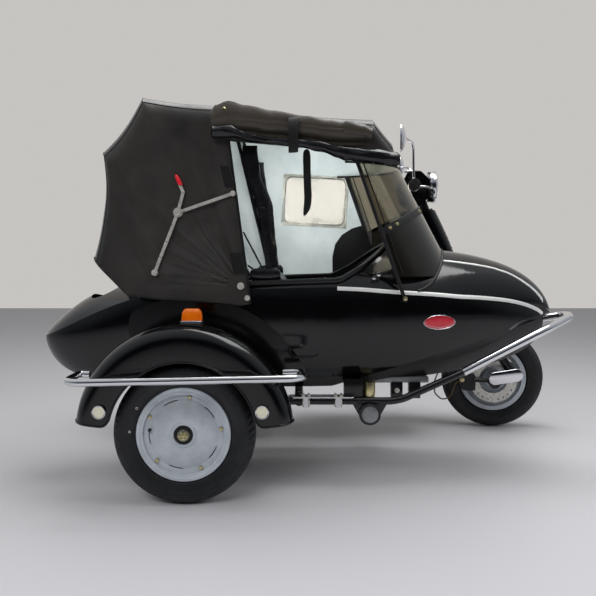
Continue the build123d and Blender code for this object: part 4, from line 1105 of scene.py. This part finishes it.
def makeScreenTrim():
    band = gridFrom([[screenSpot(turn, seamHeight(turn) + lift, out) for lift, out in screenShape["band"]]
                     for turn in sweep(77, 64)])
    parts = [thicken(faceOut(band, 160, (1, 0, 0)), 1.2, 40)]
    heights = range(690, 1041, 25)
    for side in (-1, 1):
        parts.append(addTube([screenSpot(side * edgeTurn(z), z, 0.8) for z in heights], 0.0042))
        parts.append(addTube([screenSpot(side * (edgeTurn(z) - 0.075), z, 1.2) for z in heights], 0.002, 6))
    parts.append(addTube([screenSpot(turn, 1043) for turn in sweep(78, 40)], 0.0036))
    line = []
    for turn in sweep(74, 40):
        # the foot of the sheet is found in a few steps, because it leans
        z = 720
        for _ in range(5):
            spot = screenSpot(turn, z)
            z = 1000 * dropOn("sidecar_tub", (spot.x, spot.y, 1.0), (0, 0, -1)).z
        line.append(screenSpot(turn, z + 1.5, 1))
    parts.append(addTube(line, 0.005))
    finishPiece(parts, "screenTrim", "mouldedRubber")
    screws = []
    for turn in (math.radians(degrees) for degrees in screenShape["screws"]):
        out = (math.cos(turn), math.sin(turn), 0.45)
        screws.append(addBolt(screenSpot(turn, seamHeight(turn), 2), out, 0.0042, 0.0036, 20, 1.4))
    for side in (-1, 1):
        inner, middle, outer = [(0.255, tubY + side * y, 0.612) for y in (0.271, 0.281, 0.287)]
        screws += [addRod(inner, middle, 0.0078, 6), addRod(middle, outer, 0.0052, 24, 0.002)]
    finishPiece(screws, "screenScrews", "zincScrew")


makeScreenTrim()


# Bright strips, badge and small fittings laid on the body's skin

trimShape = {
    # places in mm on the near side, mirrored to the far one
    "flank": [(41, -483, 643), (113, -482, 640), (177, -481, 635), (241, -478, 630), (306, -470, 626),
              (373, -455, 621), (442, -436, 614), (513, -411, 609), (587, -379, 601), (646, -349, 591),
              (695, -320, 578), (739, -292, 561), (762, -273, 546)],
    "deck": [(381, -355, 731), (429, -348, 727), (481, -340, 720), (531, -330, 713), (573, -320, 705),
             (603, -315, 696), (633, -308, 686), (684, -301, 659), (712, -294, 640), (737, -286, 620),
             (762, -273, 588)],
    # width of each strip and the way in which its skin lies
    "lie": {"flank": (12.5, (0, 1, 0)), "deck": (9, (0.1, 0.35, -0.9))},
    # ovals of the badge: how far in from the edge and how high over the skin
    "badge": {"centre": (371, 533), "half": (54, 23.5),
              "rim": [(0, 0.1), (0.1, 1.5), (0.9, 2.3), (2.0, 2.4), (2.7, 1.7), (2.8, 1.2)],
              "line": [(7.0, 1.5), (7.2, 2.0), (7.9, 2.1), (8.1, 1.5)],
              "face": [(2.6, 1.3), (8, 1.55), (14, 1.7), (20, 1.75), (23.3, 1.75)]},
}


def makeStrip(name):
    # a half-round strip that follows the skin under it
    width, way = trimShape["lie"][name]
    way = Vector(way).normalized()
    line = [Vector(p) / 1000 for p in curveThrough(trimShape[name], 4)]
    rows = []
    for i, spot in enumerate(line):
        along = (line[min(i + 1, len(line) - 1)] - line[max(i - 1, 0)]).normalized()
        side = along.cross(way).normalized()
        shares = [-1 + j / 4 for j in range(9)]
        row = [dropOn("sidecar_tub", spot + side * mm(width) / 2 * share - way * 0.15, way,
                      0.2 + 2.4 * math.sqrt(max(0, 1 - share * share))) for share in shares]
        if all(place is not None for place in row):
            rows.append(row)
    return thicken(faceOut(gridFrom(rows), 4 * (len(rows) - 1), -way), 0.9, 50)


def mirrored(obj):
    # a copy on the other side of the sidecar's centre plane
    twin = newObject("twin", obj.data.copy())
    twin.data.transform(Matrix.Translation((0, 2 * tubY, 0)) @ Matrix.Diagonal((1, -1, 1, 1)))
    twin.data.flip_normals()
    return twin


def makeStrips():
    strips = [makeStrip(name) for name in trimShape["lie"]]
    # the strips' pale, part-matt colour is a painted reflection
    finishPiece(strips + [mirrored(strip) for strip in strips], "brightStrips", "reflectionPaintedStrip",
                ["side_strips"])


def ovalOn(part):
    x, z = trimShape["badge"]["centre"]
    wide, high = trimShape["badge"]["half"]
    rows = []
    for inset, lift in trimShape["badge"][part]:
        starts = [(mm(x + (wide - inset) * math.cos(turn)), -0.8, mm(z + (high - inset) * math.sin(turn)))
                  for turn in turns(72)]
        rows.append([dropOn("sidecar_tub", start, (0, 1, 0), lift) for start in starts])
    return smooth(faceOut(gridFrom(rows, True), 100, (0, -1, 0)), 40)


def makeBadge():
    finishPiece([ovalOn("rim"), ovalOn("line")], "badgeRim", "brightChrome")
    finishPiece(capEnds(ovalOn("face"), 40), "badgeFace", "redBadge")


def makeBodyFittings():
    knobs = []
    for side in (-1, 1):
        y = tubY + side * 0.241
        knobs.append(addRod((0.158, y, 0.677), (0.158, y + side * 0.014, 0.677), 0.0062, 24, 0.0015))
        knobs.append(addRod((0.173, y, 0.688), (0.173, y + side * 0.018, 0.688), 0.0074, 24, 0.002))
    finishPiece(knobs, "catchKnobs", "brightChrome")
    loop = [(mm(x), tubY - 0.2535, mm(z)) for x, z in roundedOutline((-63, 444), (92, 42), 20)]
    finishPiece(addTube(loop, 0.0052, 10, True), "flankLoop", "blackEnamel")


makeStrips()
makeBadge()
makeBodyFittings()
print("body trim made")


# The seats and the saddle: padded covers, puffed by pressure, then sewn

padShape = {
    # least height that moves, farthest a point may move, places along x or across of the sewn channels, in mm
    "seat_cushion": {"free": 392, "cap": 9, "across": (-126, -63, 0, 63, 126)},
    "seat_back": {"free": 392, "cap": 9, "across": (-126, -63, 0, 63, 126)},
    "saddle": {"free": 762, "cap": 8, "along": (-270, -305)},
    # depth and half width of a channel, height of the creases, frames of the puffing
    "sink": 4.2, "spread": 4.5, "crease": 1.2, "frames": 20,
}


def puffUp(pad, free, cap):
    # presses the cover outwards from inside; its foot is held, and no point moves farther than the cap
    before = [vertex.co.copy() for vertex in pad.data.vertices]
    held = pad.vertex_groups.new(name="held")
    held.add([i for i, spot in enumerate(before) if spot.z < mm(free)], 1, "REPLACE")
    pick(pad)
    cloth = pad.modifiers.new("puff", "CLOTH")
    cloth.settings.quality = 4
    cloth.settings.mass = 0.3
    cloth.settings.use_pressure = True
    cloth.settings.uniform_pressure_force = 4
    cloth.settings.effector_weights.gravity = 0
    cloth.settings.vertex_group_mass = "held"
    cloth.collision_settings.use_collision = False
    cloth.point_cache.frame_start, cloth.point_cache.frame_end = 1, padShape["frames"]
    for step in range(1, padShape["frames"] + 1):
        bpy.context.scene.frame_set(step)
        bpy.context.view_layer.update()
    bpy.ops.object.modifier_apply(modifier=cloth.name)
    bpy.context.scene.frame_set(1)
    for vertex, start in zip(pad.data.vertices, before):
        shift = vertex.co - start
        if shift.length > mm(cap):
            vertex.co = start + shift.normalized() * mm(cap)
    pad.vertex_groups.clear()


def makePad(name, node, body, centreY):
    values = padShape[node]
    pad = fixNormals(meshFrom(*worldMesh(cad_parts[node])))
    addModifier(pad, "REMESH", mode="VOXEL", voxel_size=0.006)
    puffUp(pad, values["free"], values["cap"])
    addModifier(pad, "SUBSURF", levels=1, render_levels=1)
    normals = [vertex.normal.copy() for vertex in pad.data.vertices]
    for vertex, normal in zip(pad.data.vertices, normals):
        spot = vertex.co.copy()
        if spot.z < mm(values["free"]) + 0.01:
            continue
        aways = [1000 * (spot.y - centreY) - place for place in values.get("across", ())]
        aways += [1000 * spot.x - place for place in values.get("along", ())]
        sink = sum(math.exp(-(away / padShape["spread"]) ** 2) for away in aways)
        crease = padShape["crease"] * noise.noise(spot * 14)
        vertex.co = spot - normal * mm(padShape["sink"] * min(1, sink) + crease)
    finishPiece(smooth(pad, 60), name, "trimVinyl", [node], body)
    return pad


def makePiping(name, pad, body, heights, centre, reach):
    # piping laid round the pad where level rays meet its sides
    tree = BVHTree.FromPolygons([vertex.co for vertex in pad.data.vertices],
                                [tuple(face.vertices) for face in pad.data.polygons])
    parts = []
    for z in heights:
        line = []
        for turn in turns(96):
            out = Vector((centre[0] + reach[0] * math.cos(turn), centre[1] + reach[1] * math.sin(turn), mm(z)))
            target = Vector((centre[0] + 0.42 * reach[0] * math.cos(turn), centre[1], mm(z)))
            place, normal, _, _ = tree.ray_cast(out, (target - out).normalized())
            if place is not None:
                line.append(place + normal * 0.0006)
        parts.append(addTube(line, 0.0026, closed=True))
    finishPiece(parts, name, "trimVinyl", body=body)


seat = makePad("seatPad", "seat_cushion", "chassis", tubY)
makePad("backPad", "seat_back", "chassis", tubY)
saddle = makePad("saddlePad", "saddle", "saddle", scooterY)
makePiping("seatPiping", seat, "chassis", (428,), (0.048, tubY), (0.3, 0.35))
makePiping("saddlePiping", saddle, "saddle", (768, 792), (-0.344, scooterY), (0.45, 0.3))
print("pads made")


# The scooter's trim and the steering's small parts

def laidOn(name, starts, way, lift):
    # where lines from the starts meet a CAD piece
    spots = [dropOn(name, start, way, lift) for start in starts]
    return [spot for spot in spots if spot is not None]


def makeScooterTrim():
    bright = []
    shield = worldMesh(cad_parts["legshield"])[0]
    for side in (-1, 1):
        edge = []
        for z in range(330, 930, 30):
            near = [spot for spot in shield if abs(spot.z - mm(z)) < 0.02]
            if near:
                far = max(near, key=lambda spot: side * spot.y)
                edge.append((far.x, far.y, mm(z)))
        bright.append(addTube(edge, 0.0048))
    for side, name in ((-1, "right_cowl"), (1, "left_cowl")):
        starts = [(-0.66 + 0.56 * i / 24, scooterY + side * 0.5, 0.545 + 0.018 * math.sin(math.pi * i / 24))
                  for i in range(25)]
        bright.append(addTube(laidOn(name, starts, (0, -side, 0), 1), 0.0045))
    for z in (0.71 + 0.022 * i for i in range(7)):
        line = laidOn("horn_cover", [(0.9, scooterY - 0.024 + 0.008 * j, z) for j in range(7)], (-1, 0, 0), 0.8)
        if len(line) > 3:
            bright.append(addTube(line, 0.0022, 6))
    bright.append(addSpin([(45, 0), (46, -3), (44, -6), (40, -7)], (-0.7525, scooterY, 0.597), "X", 48))
    finishPiece(bright, "scooterTrim", "buffedAluminium")
    strips = [addBlock((-0.02, y - 0.011, 0.3), (0.40, y + 0.011, 0.3055), 0.002)
              for y in (scooterY + across for across in (-0.190, -0.145, -0.1, 0.1, 0.145, 0.190))]
    finishPiece(strips, "floorStrips", "mouldedRubber")


steeringShape = {
    # outlines spun about their axles, in mm
    "lampRing": [(64.5, -18), (66.5, -10), (67, -1), (65, 4.5), (61.5, 6.4), (59, 4.6), (59, 0)],
    "mirror": [(0, -0.4), (30, -0.6), (51.5, -0.4), (52.5, 0.2)],
    "dial": [(0, 3.6), (29, 3.6), (31, 2.8)],
    "bezel": [(30.5, 2.6), (31, 5), (33, 6), (35.5, 4), (36, -2)],
    "dialPlace": (0.404, scooterY, 1.0985),
    "bar": (0.408, 1.034),
    # collars of the grips: place across, half length, radius, sides and bevel
    "collars": [(0.3722, 0.004, 0.0222, 32, 0.0018), (0.2685, 0.003, 0.0225, 32, 0.0014)],
}


def makeSteeringTrim():
    def rest(piece):
        piece.data.transform(steerRest)
        return piece

    def barRod(across, half, *size):
        x, z = steeringShape["bar"]
        return rest(addRod((x, scooterY + across - half, z), (x, scooterY + across + half, z), *size))

    def finish(piece, name, slot, paint):
        finishPiece(piece, name, paint, body="steering")

    chrome = [rest(addSpin(steeringShape["lampRing"], (0.5005, scooterY, 1.034), "X", 72))]
    chrome += [barRod(side * 0.2155, side * 0.0015, 0.0232, 40) for side in (-1, 1)]
    cover = makePrism(roundedOutline((785, 236), (144, 54), 26.5, 9, 10), 0.2355, 0.2455)
    chrome.append(smooth(bevelEdges(cover, 0.003, 3), 40))
    finish(chrome, "steeringChrome", "chrome", "brightChrome")
    finish([rest(addSpin(steeringShape["mirror"], (0.3515, scooterY + side * 0.301, high), "X", 56))
            for side, high in ((-1, 1.215), (1, 1.137))], "mirrorGlass", "chrome", "mirrorGlass")
    ribs = []
    for side in (-1, 1):
        ribs += [barRod(side * (0.271 + 0.0075 * i), 0.0022, 0.0193, 28) for i in range(13)]
        ribs += [barRod(side * across, *size) for across, *size in steeringShape["collars"]]
    finish(ribs, "gripRibs", "grip_black", "mouldedRubber")
    for part, name, slot, paint in (("dial", "dialFace", "cream", "dialFace"),
                                    ("bezel", "dialBezel", "chrome", "brightChrome")):
        finish(rest(addSpin(steeringShape[part], steeringShape["dialPlace"], "Z", 48)), name, slot, paint)
    needle = addBlock((0.4035, scooterY - 0.022, 1.1023), (0.4050, scooterY + 0.004, 1.1031), 0.0002)
    finish(rest(needle), "dialNeedle", "red", "redSleeve")
    finish(addBolt((0.6128, 0.288, 0.2165), (0, -1, 0), 0.0065, 0.006), "caliperBolt", "brushed", "zincScrew")


makeScooterTrim()
makeSteeringTrim()
print("scooter trim made")


# Floor, wall, lamps and camera

studio = {
    "half": 9.0,
    "floor": "#b4b3b6",
    "wall": {"colour": "#e6e3df", "place": (0, 7.0, 6.0), "strength": 0.72},
    # dark behind the camera, bright overhead and behind the outfit
    "world": {"strength": 0.75,
              "stops": [(0.0, "#1a1b1e"), (0.3, "#26282c"), (0.46, "#9aa0a8"), (1.0, "#f2f4f7")]},
    "lamps": [
        # name, place, aim, size, watts
        ("frontLamp", (-1.6, -3.6, 2.9), (-0.1, -0.3, 0.7), (2.6, 1.6), 95),
        ("topLamp", (0.4, 0.2, 3.6), (0.1, -0.2, 0.5), (3.6, 1.8), 110),
        ("sideLamp", (3.2, -1.6, 2.2), (0.3, -0.2, 0.6), (1.6, 1.6), 45),
        ("cabinLamp", (-0.03, -0.40, 0.98), (-0.03, 0.06, 0.92), (0.34, 0.2), 3.0),
    ],
    # fitted to the photograph: the three wheels and the frame tube fall on their pixels
    "camera": {"place": (-0.0837, -2.8563, 0.764), "down": 0.0637, "lens": 45.16, "sensor": 36.0},
}


def paleBackdrop(name, code, strength):
    # seen directly, mirrored or through glass the wall keeps one pale tone; other things get plain bounce only
    paint, tree = newPaint(name)
    rays = addNode(tree, "LightPath").outputs
    seen = rays["Is Camera Ray"]
    for kind in ("Is Glossy Ray", "Is Transmission Ray"):
        seen = addNode(tree, "Math", {"operation": "MAXIMUM"}, {0: seen, 1: rays[kind]}).outputs[0]
    plain = addNode(tree, "BsdfDiffuse", {"Color": hexColour(code)})
    glow = addNode(tree, "Emission", {"Color": hexColour(code), "Strength": strength})
    mix = addNode(tree, "MixShader", links={0: seen, 1: plain.outputs[0], 2: glow.outputs[0]})
    addNode(tree, "OutputMaterial", links={"Surface": mix.outputs[0]})
    return paint


def addPlane(name, place, rotation, paint):
    bpy.ops.mesh.primitive_plane_add(size=2 * studio["half"], location=place, rotation=rotation)
    plane = settle(bpy.context.object)
    plane.name = name
    plane.data.materials.append(paint)


def makeStudio():
    wall = studio["wall"]
    addPlane("studioFloor", (0, 0, 0), (0, 0, 0),
             makeFinish("paleFloor", dict(colour=studio["floor"], rough=0.5)))
    addPlane("studioWall", wall["place"], (math.pi / 2, 0, 0),
             paleBackdrop("paleWall", wall["colour"], wall["strength"]))
    for name, place, aim, size, watts in studio["lamps"]:
        lamp = bpy.data.lights.new(name, "AREA")
        lamp.shape = "RECTANGLE"
        lamp.size, lamp.size_y = size
        lamp.energy = watts
        holder = newObject(name, lamp)
        holder.visible_camera = False
        holder.visible_glossy = name == "topLamp"
        holder.location = place
        holder.rotation_euler = (Vector(aim) - Vector(place)).to_track_quat("-Z", "Y").to_euler()
    world = bpy.data.worlds.new("softSky")
    bpy.context.scene.world = world
    world.use_nodes = True
    tree = world.node_tree
    sky = tree.nodes["Background"]
    way = addNode(tree, "TexCoord").outputs["Generated"]
    tilt = addNode(tree, "VectorMath", {"operation": "DOT_PRODUCT", 1: (0, 0.6, 0.8)}, {0: way})
    share = addNode(tree, "MapRange", {"From Min": -0.8, "From Max": 1.0}, {"Value": tilt.outputs["Value"]})
    ramp = addNode(tree, "ValToRGB", links={"Fac": share.outputs["Result"]})
    setStops(ramp.color_ramp, studio["world"]["stops"])
    tree.links.new(ramp.outputs["Color"], sky.inputs["Color"])
    sky.inputs["Strength"].default_value = studio["world"]["strength"]


def makeCamera():
    values = studio["camera"]
    camera = bpy.data.cameras.new("photoCamera")
    camera.lens = values["lens"]
    camera.sensor_width = values["sensor"]
    holder = newObject("photoCamera", camera)
    holder.location = values["place"]
    holder.rotation_euler = (math.pi / 2 - values["down"], 0, 0)
    bpy.context.scene.camera = holder


makeStudio()
makeCamera()
bpy.context.scene.view_settings.view_transform = "Standard"
print("studio ready")
